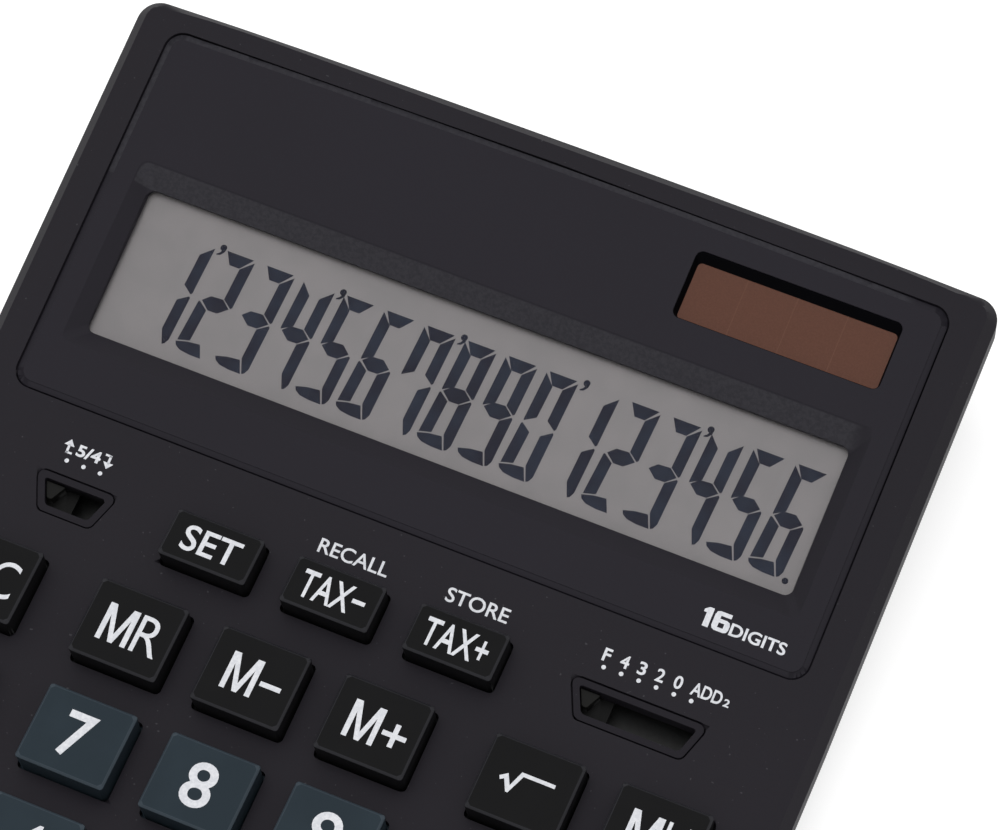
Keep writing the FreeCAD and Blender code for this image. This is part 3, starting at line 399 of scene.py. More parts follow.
def solar_film():
    """Four brown amorphous cells behind a clear cover, parted by three fine lines."""
    board = Board("solar_film")
    speckle = board.noise(3500, 2, 0.5)
    tone = board.mix(speckle.above(0.35, 0.7), linear(85, 51, 37), linear(90, 55, 41))
    left, right = SOLAR_HOLE[0], SOLAR_HOLE[2]
    middles = [(left + (right - left) * quarter / 4) * MM for quarter in (1, 2, 3)]
    across = board.along("X")
    lines = sum(across.near(middle, 0.09 * MM) for middle in middles)
    return board.finish(
        board.surface(
            Base_Color=board.mix(lines * 0.08, tone, linear(150, 112, 92)),
            Roughness=speckle * 0.06 + 0.22,
            Specular_IOR_Level=0.25,
        )
    )


def printed_ink():
    """Screen-printed lettering, slightly chalky."""
    board = Board("printed_ink")
    chalk = board.noise(1800, 3, 0.6)
    tone = board.mix(chalk.above(0.35, 0.7), linear(222, 224, 230), linear(240, 241, 245))
    return board.finish(
        board.surface(Base_Color=tone, Roughness=chalk * 0.15 + 0.45, Specular_IOR_Level=0.2)
    )


def rubber(name, colour):
    """Matt rubber that holds a little dust."""
    board = Board(name)
    dust = board.noise(700, 4, 0.6)
    return board.finish(
        board.surface(
            Base_Color=board.mix(dust.above(0.45, 0.8) * 0.7, colour, lighter(colour, 1.5)),
            Roughness=dust * 0.15 + 0.72,
            Specular_IOR_Level=0.2,
            Normal=board.bump(dust, 0.02),
        )
    )


def plain_metal(name, colour, shine):
    """Bright metal with fine drawing lines and duller patches."""
    board = Board(name)
    lines = board.noise(3000, 2, 0.7)
    dull = board.noise(300, 3, 0.6)
    return board.finish(
        board.surface(
            Base_Color=board.mix(dull.above(0.4, 0.8), colour, lighter(colour, 0.75)),
            Metallic=1.0,
            Roughness=dull * 0.2 + shine,
            Normal=board.bump(lines, 0.004),
        )
    )


def laminate():
    """Dark board laminate with its woven glass showing faintly."""
    board = Board("laminate")
    weave = board.noise(1400, 2, 0.4)
    return board.finish(
        board.surface(
            Base_Color=board.mix(weave.above(0.4, 0.6), linear(13, 13, 13), linear(18, 19, 19)),
            Roughness=weave * 0.1 + 0.35,
            Normal=board.bump(weave, 0.01),
        )
    )


FINISHES = {
    "case_black": moulded("case_plastic", linear(30, 28, 33), 0.5, gloss=0.18),
    "panel_black": panel_plastic(),
    # The bezel finish is near black with almost no gloss: painted shade, standing for the deep
    # shadow round the solar cell.
    "bezel_black": key_plastic("bezel_painted_shade", linear(4, 4, 6), 0.5, 0.02),
    "key_black": key_plastic("black_key_plastic", linear(15, 15, 16), 0.48, 0.11),
    # The rim finishes are paler than their keys: a painted highlight along the rounded edges of the
    # key tops.
    "key_black_rim": key_plastic("black_key_rim_highlight", linear(33, 33, 37), 0.4, 0.2),
    "key_slate_rim": key_plastic("slate_key_rim_highlight", linear(54, 64, 72), 0.4, 0.2),
    "key_slate": key_plastic("slate_key_plastic", linear(38, 48, 55), 0.48, 0.14),
    "window_clear": clear_window(),
    "lcd_glass": display_glass(),
    "dark_plastic": moulded("inner_plastic", linear(16, 16, 17), 0.6, gloss=0.15),
    "solar_amorphous": solar_film(),
    "ribbon_film": moulded("ribbon_film", linear(172, 128, 62), 0.4, depth=0.002),
    "mat_rubber": rubber("mat_rubber", linear(52, 54, 56)),
    "board_laminate": laminate(),
    "chip_epoxy": moulded("chip_epoxy", linear(36, 36, 38), 0.6, grain=1800),
    "screw_steel": plain_metal("screw_steel", linear(176, 178, 182), 0.28),
    "contact_bronze": plain_metal("contact_bronze", linear(188, 150, 100), 0.3),
    "switch_black": moulded("switch_plastic", linear(29, 27, 32), 0.48, depth=0.006, gloss=0.15),
    "knob_grey": knob_plastic(),
    "cell_can": plain_metal("cell_can", linear(190, 190, 186), 0.22),
    "foot_rubber": rubber("foot_rubber", linear(44, 44, 46)),
}
INK = printed_ink()
FIGURE_INK = figure_ink()


def paint(piece, finish):
    """Give a piece one finish and no other."""
    piece.data.materials.clear()
    piece.data.materials.append(finish)


def paint_nodes():
    """Give every CAD node the finish of its slot."""
    for node, piece in NODES.items():
        paint(piece, FINISHES[SLOT_OF[node]])


# Shapes and the pieces made from them. Points nearer than the weld are one point, and faces
# that turn by less than the flat bend are one face.

WELD = 0.003
FLAT_BEND = 0.6


def in_scene(name, data):
    """A new object in the scene."""
    made = bpy.data.objects.new(name, data)
    bpy.context.scene.collection.objects.link(made)
    return made


def piece_of(shape, name, finish, body):
    """A finished piece from a shape, riding on a body."""
    mesh = bpy.data.meshes.new(name)
    shape.to_mesh(mesh)
    shape.free()
    mesh.materials.append(finish)
    piece = in_scene(name, mesh)
    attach(piece, body)
    return piece


def smooth(piece, keenest):
    """Shade a piece smooth but for the edges that turn by more than some degrees."""
    piece.data.shade_smooth()
    piece.data.set_sharp_from_angle(angle=math.radians(keenest))


def stand_for(shape, node):
    """A skin that stands for a CAD node: smooth over its rounds, flat on its flats."""
    slot = SLOT_OF[node]
    skin = piece_of(shape, f"{node}_skin", FINISHES[slot], NODES[node]["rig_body"])
    smooth(skin, 38)
    flats = skin.modifiers.new("flats", "WEIGHTED_NORMAL")
    flats.keep_sharp = True
    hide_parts(node)
    return skin


def shown_mesh(piece):
    """The mesh that an object shows, with its modifiers or its letters worked out."""
    bpy.context.view_layer.update()
    shown = piece.evaluated_get(bpy.context.evaluated_depsgraph_get())
    return bpy.data.meshes.new_from_object(shown)


def combined(shape, tool, way):
    """Two closed shapes joined by UNION, or the first without the second by DIFFERENCE."""
    pieces = []
    for name, part in (("kept", shape), ("tool", tool)):
        mesh = bpy.data.meshes.new(name)
        part.to_mesh(mesh)
        part.free()
        pieces.append(in_scene(name, mesh))
    cut = pieces[0].modifiers.new("cut", "BOOLEAN")
    cut.operation, cut.solver, cut.object = way, "EXACT", pieces[1]
    left = bmesh.new()
    left.from_mesh(shown_mesh(pieces[0]))
    for piece in pieces:
        bpy.data.objects.remove(piece)
    return left


def welded(node, additions=(), tools=()):
    """A node's shape as one closed skin, with additions, less the tools, flat faces whole."""
    shape = bmesh.new()
    shape.from_mesh(NODES[node].data)
    bmesh.ops.remove_doubles(shape, verts=shape.verts, dist=WELD * MM)
    for addition in additions:
        shape = combined(shape, addition, "UNION")
    for tool in tools:
        shape = combined(shape, tool, "DIFFERENCE")
    bmesh.ops.remove_doubles(shape, verts=shape.verts, dist=WELD * MM)
    bmesh.ops.dissolve_limit(
        shape, angle_limit=math.radians(FLAT_BEND), verts=shape.verts, edges=shape.edges
    )
    return shape


def ends(edge, into):
    """An edge's two ends as a slope sees them, in millimetres."""
    return [(into @ point.co) / MM for point in edge.verts]


def bend_of(edge):
    """How far an edge turns outward, in degrees: below 0 if inward, and 0 if it is open."""
    if len(edge.link_faces) != 2:
        return 0
    return math.degrees(edge.calc_face_angle_signed(0))


def round_off(shape, wanted, width, steps):
    """Round the edges that a test picks out."""
    bmesh.ops.bevel(
        shape,
        geom=[edge for edge in shape.edges if wanted(edge)],
        offset=width * MM,
        offset_type="OFFSET",
        segments=steps,
        profile=0.5,
        affect="EDGES",
        clamp_overlap=True,
    )


def stacked(plane, layers, ring=False):
    """A closed shape through outlines at their heights. A ring joins the last to the first."""
    shape = bmesh.new()
    loops = [
        [shape.verts.new(plane @ (Vector((x, y, height)) * MM)) for x, y in outline]
        for outline, height in layers
    ]
    following = loops[1:] + loops[:1] if ring else loops[1:]
    for one, other in zip(loops, following):
        for here in range(len(one)):
            after = (here + 1) % len(one)
            shape.faces.new((one[here], one[after], other[after], other[here]))
    if not ring:
        shape.faces.new(loops[0])
        shape.faces.new(loops[-1])
    bmesh.ops.recalc_face_normals(shape, faces=shape.faces)
    return shape


# Outlines, in millimetres.


def arc(x, y, radius, start, end, steps):
    """Points along an arc about a middle, from one angle to another in degrees."""
    turns = [math.radians(start + (end - start) * step / steps) for step in range(steps + 1)]
    return [(x + radius * math.cos(turn), y + radius * math.sin(turn)) for turn in turns]


def disc(x, y, radius, points=16):
    """A full circle about a middle."""
    return arc(x, y, radius, 0, 360, points)[:-1]


def rounded(left, front, right, rear, corner):
    """A rectangle's outline with round corners."""
    return (
        arc(right - corner, front + corner, corner, -90, 0, 6)
        + arc(right - corner, rear - corner, corner, 0, 90, 6)
        + arc(left + corner, rear - corner, corner, 90, 180, 6)
        + arc(left + corner, front + corner, corner, 180, 270, 6)
    )


def soft_corners(outline, radius):
    """An outline of a few corners, anticlockwise, with each corner turned into an arc."""
    points, steps = [], 5
    for here, corner in enumerate(outline):
        spot = Vector(corner)
        back = (Vector(outline[here - 1]) - spot).normalized()
        on = (Vector(outline[(here + 1) % len(outline)]) - spot).normalized()
        half = back.angle(on) / 2
        hub = spot + (back + on).normalized() * radius / math.sin(half)
        start = spot + back * radius / math.tan(half) - hub
        end = spot + on * radius / math.tan(half) - hub
        for step in range(steps + 1):
            arm = start.slerp(end, step / steps).normalized() * radius
            points.append(tuple(hub + arm))
    return points


def bar(x0, y0, x1, y1, thick):
    """A straight stroke with square ends."""
    run = Vector((x1 - x0, y1 - y0)).normalized() * thick / 2
    side = Vector((-run.y, run.x))
    return [
        (x0 - side.x, y0 - side.y),
        (x1 - side.x, y1 - side.y),
        (x1 + side.x, y1 + side.y),
        (x0 + side.x, y0 + side.y),
    ]


def cross(x, y, arm, thick, turn=0):
    """An upright cross as one outline, or a slanting one when it is turned by some degrees."""
    half = thick / 2
    corner = [(half, arm), (half, half), (arm, half)]
    quarters = [(corner, 1, 1), (corner[::-1], 1, -1), (corner, -1, -1), (corner[::-1], -1, 1)]
    points = [(a * right, b * up) for part, right, up in quarters for a, b in part]
    cosine, sine = math.cos(math.radians(turn)), math.sin(math.radians(turn))
    return [(x + a * cosine - b * sine, y + a * sine + b * cosine) for a, b in points]


def panel_outline(inset):
    """The display panel's outline drawn in by an inset."""
    half, front, rear = PANEL_HALF - inset, PANEL_FRONT + inset, PANEL_REAR - inset
    corner, bow = PANEL_CORNER - inset, PANEL_BOW - inset
    bow_y = rear - bow
    corner_y = bow_y + math.sqrt((bow - corner) ** 2 - (half - corner) ** 2)
    meeting = math.degrees(math.atan2(corner_y - bow_y, half - corner))
    return (
        arc(half - corner, front + corner, corner, -90, 0, 8)
        + arc(half - corner, corner_y, corner, 0, meeting, 8)
        + arc(0, bow_y, bow, meeting, 180 - meeting, 24)[1:-1]
        + arc(corner - half, corner_y, corner, 180 - meeting, 180, 8)
        + arc(corner - half, front + corner, corner, 180, 270, 8)
    )


def switch_outline(sides, grow, radius):
    """A switch surround's outline, drawn outward, with round corners."""
    left, right, front_left, front_right = sides
    points = []
    for way, back, fore in ((-1, left, front_left), (1, right, front_right)):
        slant = abs(back - fore) / (SURROUND_REAR - SURROUND_FRONT)
        out = math.hypot(1, slant)
        points.append((fore + way * grow * (out - slant), SURROUND_FRONT - grow))
        points.append((back + way * grow * (out + slant), SURROUND_REAR + grow))
    return soft_corners([points[0], points[2], points[3], points[1]], radius)


# Skins: the same parts with the small rounds that a mould leaves.


def soften_panel():
    """The display panel with a low rim, a rounded solar opening and round window corners."""
    shape = welded("display_panel")

    def window_corner(edge):
        spots = ends(edge, INTO_DISPLAY)
        beside = all(60 < abs(spot.x) < 67 and 17 < spot.y < 52.5 for spot in spots)
        return beside and abs(spots[0].z - spots[1].z) > 0.2 and bend_of(edge) < -20

    def top_edge(edge):
        at_top = all(abs(spot.z) < 0.02 for spot in ends(edge, INTO_DISPLAY))
        return at_top and bend_of(edge) > 28

    round_off(shape, window_corner, WINDOW_CORNER, 4)
    for inset, drop in ((RIM_WIDTH, RIM_DROP), (SEAM_WIDTH, SEAM_DROP)):
        outer, inner = panel_outline(-1), panel_outline(inset)
        layers = [(outer, -drop), (outer, 1), (inner, 1), (inner, -drop)]
        shape = combined(shape, stacked(DISPLAY, layers, ring=True), "DIFFERENCE")
    opening = rounded(*SOLAR_BEZEL, SOLAR_BEZEL_CORNER)
    hole = stacked(DISPLAY, [(opening, -SOLAR_SINK), (opening, 1)])
    shape = combined(shape, hole, "DIFFERENCE")
    round_off(shape, top_edge, PANEL_EDGE, 2)
    stand_for(shape, "display_panel")


def solar_bezel():
    """The bezel that slopes from the panel down to the solar cell, widest at its rear, painted near
    black as painted shade for the recess's deep shadow.
    """
    left, front, right, rear = SOLAR_BEZEL
    gap, side, corner = BEZEL_GAP, BEZEL_SIDE, SOLAR_BEZEL_CORNER
    outer = rounded(left + gap, front + gap, right - gap, rear - gap, corner - gap)
    front, rear = front + BEZEL_FRONT, rear - BEZEL_REAR
    edge = rounded(left + side, front, right - side, rear, corner - side)
    inner = rounded(*SOLAR_HOLE, SOLAR_HOLE_CORNER)
    low = 0.02 - SOLAR_SINK
    layers = [(outer, low), (outer, BEZEL_TOP), (edge, BEZEL_TOP), (inner, low)]
    shape = stacked(DISPLAY, layers, ring=True)
    piece = piece_of(shape, "solar_bezel", FINISHES["bezel_black"], "case")
    smooth(piece, 30)


def soften_switch(node, keen, wide, inward, top):
    """A switch surround or knob with round corners and a soft top.

    The widths are those of its keen, wide and inward corners and of its top edge.
    """
    shape = welded(node)

    def heights(edge):
        return [spot.z for spot in ends(edge, INTO_DECK)]

    def upright(edge):
        return max(heights(edge)) - min(heights(edge)) > 0.7

    def top_edge(edge):
        return min(heights(edge)) > highest - 0.05 and bend_of(edge) > 40

    highest = max(max(heights(edge)) for edge in shape.edges)
    round_off(shape, lambda edge: upright(edge) and bend_of(edge) > 90.5, keen, 5)
    round_off(shape, lambda edge: upright(edge) and 45 < bend_of(edge) <= 90.5, wide, 4)
    round_off(shape, lambda edge: upright(edge) and bend_of(edge) < -30, inward, 3)
    round_off(shape, top_edge, top, 2)
    stand_for(shape, node)


def spread(spots, axis):
    """How far some places reach along an axis."""
    return max(spot[axis] for spot in spots) - min(spot[axis] for spot in spots)


def sharpen_corners(shape):
    """Make the slanting corners of a key narrower, most of all at its top."""
    moves = {}
    for face in shape.faces:
        facing = (INTO_DECK.to_3x3() @ face.normal).normalized()
        if abs(facing.x) < 0.5 or abs(facing.y) < 0.5:
            continue
        spots = {point: INTO_DECK @ point.co for point in face.verts}
        if max(spread(spots.values(), 0), spread(spots.values(), 1)) > KEY_SLANT * MM:
            continue
        for point, spot in spots.items():
            level = [other for other in spots.values() if abs(other.z - spot.z) < 0.3 * MM]
            reach = [max(abs(other[axis] - spot[axis]) for other in level) for axis in (0, 1)]
            ahead = max(facing.x * other.x for other in level) > facing.x * spot.x + 1e-6
            share = TOP_SHARE if spot.z > KEY_UPPER * MM else FOOT_SHARE
            shift = Vector((0, 0, 0))
            if ahead:
                shift.x = math.copysign(reach[0] * share, facing.x)
            else:
                shift.y = math.copysign(reach[1] * share, facing.y)
            moves[point] = DECK.to_3x3() @ shift
    for point, move in moves.items():
        point.co += move


def soften_key(node):
    """A key with rounded corners and a soft edge round its top, painted paler there as a painted
    highlight.
    """
    shape = welded(node)

    def corner(edge):
        one, other = ends(edge, INTO_DECK)
        upright = abs((one - other).normalized().z) > 0.55
        return upright and max(one.z, other.z) > KEY_EDGE and 20 < bend_of(edge) < 70

    def rim(edge):
        one, other = ends(edge, INTO_DECK)
        return min(one.z, other.z) > KEY_EDGE and 25 < bend_of(edge) < 70

    sharpen_corners(shape)
    round_off(shape, corner, KEY_CORNER, 3)
    flats = set(shape.faces)
    round_off(shape, rim, KEY_RIM, 2)
    # The small faces of the rounded top edge take the second finish, a painted highlight.
    for face in shape.faces:
        high = (INTO_DECK @ face.calc_center_median()).z > KEY_UPPER * MM
        if high and face not in flats and face.calc_area() < RIM_AREA * MM * MM:
            face.material_index = 1
    skin = stand_for(shape, node)
    skin.data.materials.append(FINISHES[f"{SLOT_OF[node]}_rim"])


def switch_groove(sides):
    """The shape of the narrow groove round a switch surround."""
    outline = switch_outline(sides, GROOVE_WIDTH, GROOVE_CORNER)
    return stacked(DECK, [(outline, -GROOVE_DEPTH), (outline, 1)])


def switch_lip(sides):
    """A ring that gives the opening round a switch surround its round corners."""
    inner = switch_outline(sides, LIP_GAP, LIP_CORNER)
    outer = switch_outline(sides, LIP_WIDTH, LIP_OUTER_CORNER)
    layers = [(inner, -LIP_DEPTH), (inner, 0), (outer, 0), (outer, -LIP_DEPTH)]
    return stacked(DECK, layers, ring=True)


def soften_upper_case():
    """The upper case, round at its shoulder and openings, with a groove round each switch."""
    lips = [switch_lip(sides) for sides in SURROUNDS]
    grooves = [switch_groove(sides) for sides in SURROUNDS]
    shape = welded("upper_case", lips, grooves)

    def shoulder(edge):
        spots = [point.co / MM for point in edge.verts]
        at_rim = all(abs(spot.x) > 75.4 or spot.y < -98.5 or spot.y > 97 for spot in spots)
        return at_rim and 25 < bend_of(edge) < 65

    def opening_corner(edge):
        spots = ends(edge, INTO_DECK)
        upright = abs((spots[0] - spots[1]).normalized().z) > 0.99
        inside = all(abs(spot.x) < 68 and -113 < spot.y < -2 for spot in spots)
        through = min(spot.z for spot in spots) > -2.3
        by_switch = any(spot.y > -11.8 and not -43 < spot.x < 33 for spot in spots)
        chosen = upright and inside and through and not by_switch
        return chosen and abs(bend_of(edge)) > 40

    round_off(shape, shoulder, SHOULDER, 4)
    round_off(shape, opening_corner, OPENING_CORNER, 4)
    stand_for(shape, "upper_case")


# The display's figures. Each segment is drawn from the lower left corner of its figure.

FIGURE_PITCH = 7.33
FIGURE_LEFT = -55.5
FIGURE_FOOT = 24.4
FIGURE_LEAN = 0.05
SHOWN = "1234567890123456"

SEGMENTS = {
    "top": [(0.45, 18.5), (5.35, 18.5), (3.65, 16.3), (1.85, 16.3)],
    "upper right": [(5.7, 18.1), (5.7, 9.5), (5.45, 9.25), (3.75, 10.45), (3.75, 16.2)],
    "lower right": [
        (5.7, 8.6), (5.45, 8.85), (3.75, 7.6), (3.75, 2.1), (4.9, -0.4), (5.3, -0.2), (5.7, 0.7),
    ],
    "foot": [
        (-0.5, 0.95), (1.4, 1.5), (3.6, 1.75), (4.7, -0.5), (2.6, -0.5), (0.8, -0.25), (-0.15, 0.3),
    ],
    "lower left": [(-0.1, 8.65), (0.1, 8.8), (1.85, 7.6), (1.7, 1.8), (-0.35, 1.25)],
    "upper left": [(0.05, 18.1), (2.0, 16.15), (1.9, 10.35), (0.1, 9.2), (0, 9.4)],
    "middle": [(0.35, 9.05), (1.5, 10.2), (3.65, 10.35), (5.25, 9.1), (3.75, 7.75), (2.05, 7.7)],
}

# The segments that each figure leaves out.
LEFT_OUT = {
    "0": ["middle"],
    "1": ["top", "foot", "lower left", "upper left", "middle"],
    "2": ["lower right", "upper left"],
    "3": ["lower left", "upper left"],
    "4": ["top", "foot", "lower left"],
    "5": ["upper right", "lower left"],
    "6": ["upper right"],
    "7": ["foot", "lower left", "middle"],
    "8": [],
    "9": ["lower left"],
}

# The mark after each third figure from the right, in two parts, and the decimal point.
TICK = disc(6.95, 18.75, 0.58, 12)
TAIL = [
    (7.5, 18.8), (7.45, 18.1), (6.95, 17.4), (6.3, 17.2), (6.25, 17.4), (6.7, 17.75), (6.9, 18.2),
]
DECIMAL_POINT = disc(60.97, 23.88, 0.55)


def outlines_piece(name, outlines, plane, height, finish, body):
    """Flat shapes from outlines, laid on a plane at a height above it."""
    shape = bmesh.new()
    for outline in outlines:
        corners = [
            shape.verts.new(plane @ Vector((x * MM, y * MM, height * MM))) for x, y in outline
        ]
        shape.faces.new(corners)
    shape.normal_update()
    up = plane.to_3x3() @ Vector((0, 0, 1))
    for face in shape.faces:
        if face.normal.dot(up) < 0:
            face.normal_flip()
    piece_of(shape, name, finish, body)


def leaned(outline, left):
    """An outline of one figure, leaned to the right and put in its place."""
    return [(left + x + y * FIGURE_LEAN, FIGURE_FOOT + y) for x, y in outline]


def display_figures():
    """The sixteen figures that the display shows."""
    outlines = []
    for place, figure in enumerate(SHOWN):
        parts = [outline for name, outline in SEGMENTS.items() if name not in LEFT_OUT[figure]]
        figures_after = len(SHOWN) - 1 - place
        if figures_after and figures_after % 3 == 0:
            parts += [TICK, TAIL]
        outlines += [leaned(part, FIGURE_LEFT + FIGURE_PITCH * place) for part in parts]
    outlines.append(DECIMAL_POINT)
    height = GLASS_FACE + INK_LIFT
    outlines_piece("display_figures", outlines, DISPLAY, height, FIGURE_INK, "case")


# The lettering.


def printed(name, outlines, plane, body):
    """A printed mark made of outlines."""
    outlines_piece(name, outlines, plane, INK_LIFT, INK, body)


def thicken(shape, weight):
    """Move the outline of flat lettering outward, each corner along the middle of its sides."""
    bmesh.ops.remove_doubles(shape, verts=shape.verts, dist=0.0001)
    outward = {}
    for edge in shape.edges:
        if len(edge.link_loops) != 1:
            continue
        loop = edge.link_loops[0]
        run = (loop.link_loop_next.vert.co - loop.vert.co).normalized()
        for corner in edge.verts:
            outward.setdefault(corner, []).append(Vector((run.y, -run.x, 0)))
    for corner, sides in outward.items():
        whole = sum(sides, Vector())
        corner.co += whole * weight / max(0.5, whole.length_squared / len(sides))


def lettering(name, text, plane, x, y, tall, wide, body, weight):
    """Printed words of a height and width, with their middle at a place on a plane."""
    line = bpy.data.curves.new(name, "FONT")
    line.body = text
    line.align_x = "CENTER"
    line.resolution_u = 6
    holder = in_scene(name, line)
    mesh = shown_mesh(holder)
    bpy.data.objects.remove(holder)
    shape = bmesh.new()
    shape.from_mesh(mesh)
    for face in shape.faces:
        face.smooth = False
        if face.normal.z < 0:
            face.normal_flip()
    thicken(shape, weight)
    shape.to_mesh(mesh)
    shape.free()
    spots = [point.co for point in mesh.vertices]
    low = Vector((min(spot.x for spot in spots), min(spot.y for spot in spots), 0))
    high = Vector((max(spot.x for spot in spots), max(spot.y for spot in spots), 0))
    size = high - low
    fit = Matrix.Diagonal((wide * MM / size.x, tall * MM / size.y, 1, 1))
    centre = Matrix.Translation(-(low + high) / 2)
    there = plane @ Matrix.Translation((x * MM, y * MM, INK_LIFT * MM))
    mesh.transform(there @ fit @ centre)
    piece = in_scene(name, mesh)
    paint(piece, INK)
    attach(piece, body)


def key_top(node):
    """The plane of a key's top: x to the right, y to the rear, z out of it."""
    mesh = NODES[node].data
    up = DECK.to_3x3() @ Vector((0, 0, 1))
    level = [face for face in mesh.polygons if face.normal.dot(up) > 0.99]
    highest = max(face.center.dot(up) for face in level)
    tops = [face for face in level if highest - face.center.dot(up) < 1 * MM]
    normal = tops[0].normal.copy()
    right = Vector((1, 0, 0))
    rear = normal.cross(right).normalized()
    along = [mesh.vertices[number].co.dot(rear) for face in tops for number in face.vertices]
    middle = (min(along) + max(along)) / 2
    low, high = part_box(node)
    plane = Matrix((right, rear, normal)).transposed().to_4x4()
    plane.translation = (
        right * ((low.x + high.x) / 2) + rear * middle + normal * tops[0].center.dot(normal)
    )
    return plane


# Each key's words, their height and width, and the weight of the strokes.
KEY_WORDS = {
    "key_set": ("SET", 4.7, 9.9, 0.012),
    "key_tax_minus": ("TAX−", 5, 11.2, 0.012),
    "key_tax_plus": ("TAX+", 5, 11.2, 0.012),
    "key_7": ("7", 7.8, 5, 0.012),
    "key_8": ("8", 7.9, 5.1, 0.012),
    "key_9": ("9", 7.9, 5.1, 0.012),
    "key_4": ("4", 7.8, 5.3, 0.012),
    "key_5": ("5", 7.8, 5, 0.012),
    "key_6": ("6", 7.9, 5.1, 0.012),
    "key_2": ("2", 7.8, 5, 0.012),
    "key_3": ("3", 7.9, 5, 0.012),
    "key_0": ("0", 7.9, 5.1, 0.012),
    "key_00": ("00", 7.9, 10.8, 0.012),
    "key_percent": ("%", 6.2, 7, 0.006),
    "key_gt": ("GT", 6.3, 9.4, 0.006),
    "key_c": ("C", 6.5, 6, 0.006),
    "key_ac": ("AC", 6.3, 10.2, 0.006),
}


def key_lettering():
    """The words and figures on the keys."""
    for node, (words, tall, wide, weight) in KEY_WORDS.items():
        lettering(f"{node}_mark", words, key_top(node), 0, 0, tall, wide, node, weight)


# The memory keys: an M of straight strokes with this after it, and how wide that is.
MEMORY_KEYS = {
    "key_mc": ("C", 4.4),
    "key_mr": ("R", 4.4),
    "key_mu": ("U", 4.0),
    "key_m_minus": ("−", 3.6),
    "key_m_plus": ("+", 4.1),
}
M_WIDTH = 5.3
M_HEIGHT = 6.6
M_STROKE = 0.9
M_GAP = 0.65

# How far the whole mark stands right of the key's middle, and how low its sign stands.
M_SHIFT = 0.65
SIGN_LEVEL = -0.35

THIN_STROKE = 0.65
SIGN_STROKE = 0.85
BROAD_STROKE = 0.95


def straight_m(left, foot):
    """The outline of an M whose middle reaches down to the line."""
    wide, tall, thick = M_WIDTH, M_HEIGHT, M_STROKE
    middle, point, shoulder = wide / 2, thick * 0.45, thick * 1.3
    notch = thick * 1.7
    steep = (tall - notch) / (middle - shoulder)
    inside = steep * (middle - point - thick)
    half = [(0, tall), (0, 0), (thick, 0), (thick, inside), (middle - point, 0)]
    other = [(wide - x, y) for x, y in reversed(half)]
    outline = half + other + [(wide - shoulder, tall), (middle, notch), (shoulder, tall)]
    return [(left + x, foot + y) for x, y in outline]


def memory_lettering():
    """The marks on the memory keys. A letter after the M is a piece of its own."""
    for node, (sign, wide) in MEMORY_KEYS.items():
        plane, whole = key_top(node), M_WIDTH + M_GAP + wide
        left = M_SHIFT - whole / 2
        outlines = [straight_m(left, -M_HEIGHT / 2)]
        start, end = left + whole - wide, left + whole
        middle = (start + end) / 2
        if sign == "−":
            outlines.append(bar(start, SIGN_LEVEL, end, SIGN_LEVEL, SIGN_STROKE))
        if sign == "+":
            outlines.append(cross(middle, SIGN_LEVEL, wide / 2, SIGN_STROKE))
        printed(f"{node}_mark", outlines, plane, node)
        if sign not in "+−":
            name = f"{node}_second_mark"
            lettering(name, sign, plane, middle, 0, M_HEIGHT, wide, node, -0.004)


# Signs that are drawn as outlines, about the middle of the key.
SIGNS = {
    "key_1": [
        [
            (0.15, -3.9), (1.4, -3.9), (1.4, 3.9), (0.5, 3.9), (0.3, 3.15), (-0.3, 2.6),
            (-1.3, 2.35), (-1.3, 1.45), (0.15, 1.45),
        ],
    ],
    "key_root": [
        [
            (-4.5, 0.1), (-3.3, 0.95), (-2.35, -0.85), (-1.35, 1.9), (4.4, 1.9), (4.4, 1.25),
            (-0.85, 1.25), (-2.2, -2.1), (-2.6, -2.1), (-3.6, -0.1), (-4.2, -0.5),
        ],
    ],
    "key_times": [cross(0, 0, 2.7, SIGN_STROKE, 45)],
    "key_divide": [
        bar(-2.6, 0, 2.6, 0, SIGN_STROKE),
        disc(0, 1.8, 0.62),
        disc(0, -1.8, 0.62),
    ],
    "key_minus": [bar(-2.4, 0, 2.4, 0, BROAD_STROKE)],
    "key_plus": [cross(0, 0, 2.6, BROAD_STROKE)],
    "key_equals": [
        bar(-2.5, 0.95, 2.5, 0.95, SIGN_STROKE),
        bar(-2.5, -0.95, 2.5, -0.95, SIGN_STROKE),
    ],
    "key_point": [disc(0, -1.2, 0.75)],
    "key_sign": [
        cross(-2.5, 1.3, 1.5, THIN_STROKE),
        bar(-1.3, -2.6, 1.3, 2.6, 0.6),
        bar(1.1, -1.4, 4, -1.4, THIN_STROKE),
    ],
    "key_shift": [
        [(-3.6, 0), (-1, 2.1), (-1, 0.5), (3.4, 0.5), (3.4, -0.5), (-1, -0.5), (-1, -2.1)],
    ],
}


def key_signs():
    """The signs on the keys."""
    for node, outlines in SIGNS.items():
        printed(f"{node}_mark", outlines, key_top(node), node)


# The words beside the switches and over the tax keys: their place, height, width and weight.
DECK_WORDS = {
    "recall": ("RECALL", -4.9, 1.15, 2.5, 12.3, 0.012),
    "store": ("STORE", 17, 1.2, 2.5, 10.9, 0.012),
    "rounding": ("5/4", -52.8, 1.3, 2.05, 4.3, 0.03),
    "decimal_full": ("F", 39.6, 1.25, 2.2, 1.3, 0.022),
    "decimal_four": ("4", 42.7, 1.25, 2.2, 1.5, 0.022),
    "decimal_three": ("3", 45.7, 1.25, 2.2, 1.4, 0.022),
    "decimal_two": ("2", 48.8, 1.25, 2.2, 1.4, 0.022),
    "decimal_none": ("0", 51.9, 1.25, 2.2, 1.4, 0.022),
    "decimal_add": ("ADD", 56.8, 1.25, 2.2, 5.2, 0.022),
    "decimal_add_two": ("2", 60.3, 0.9, 1.3, 1.0, 0.03),
}

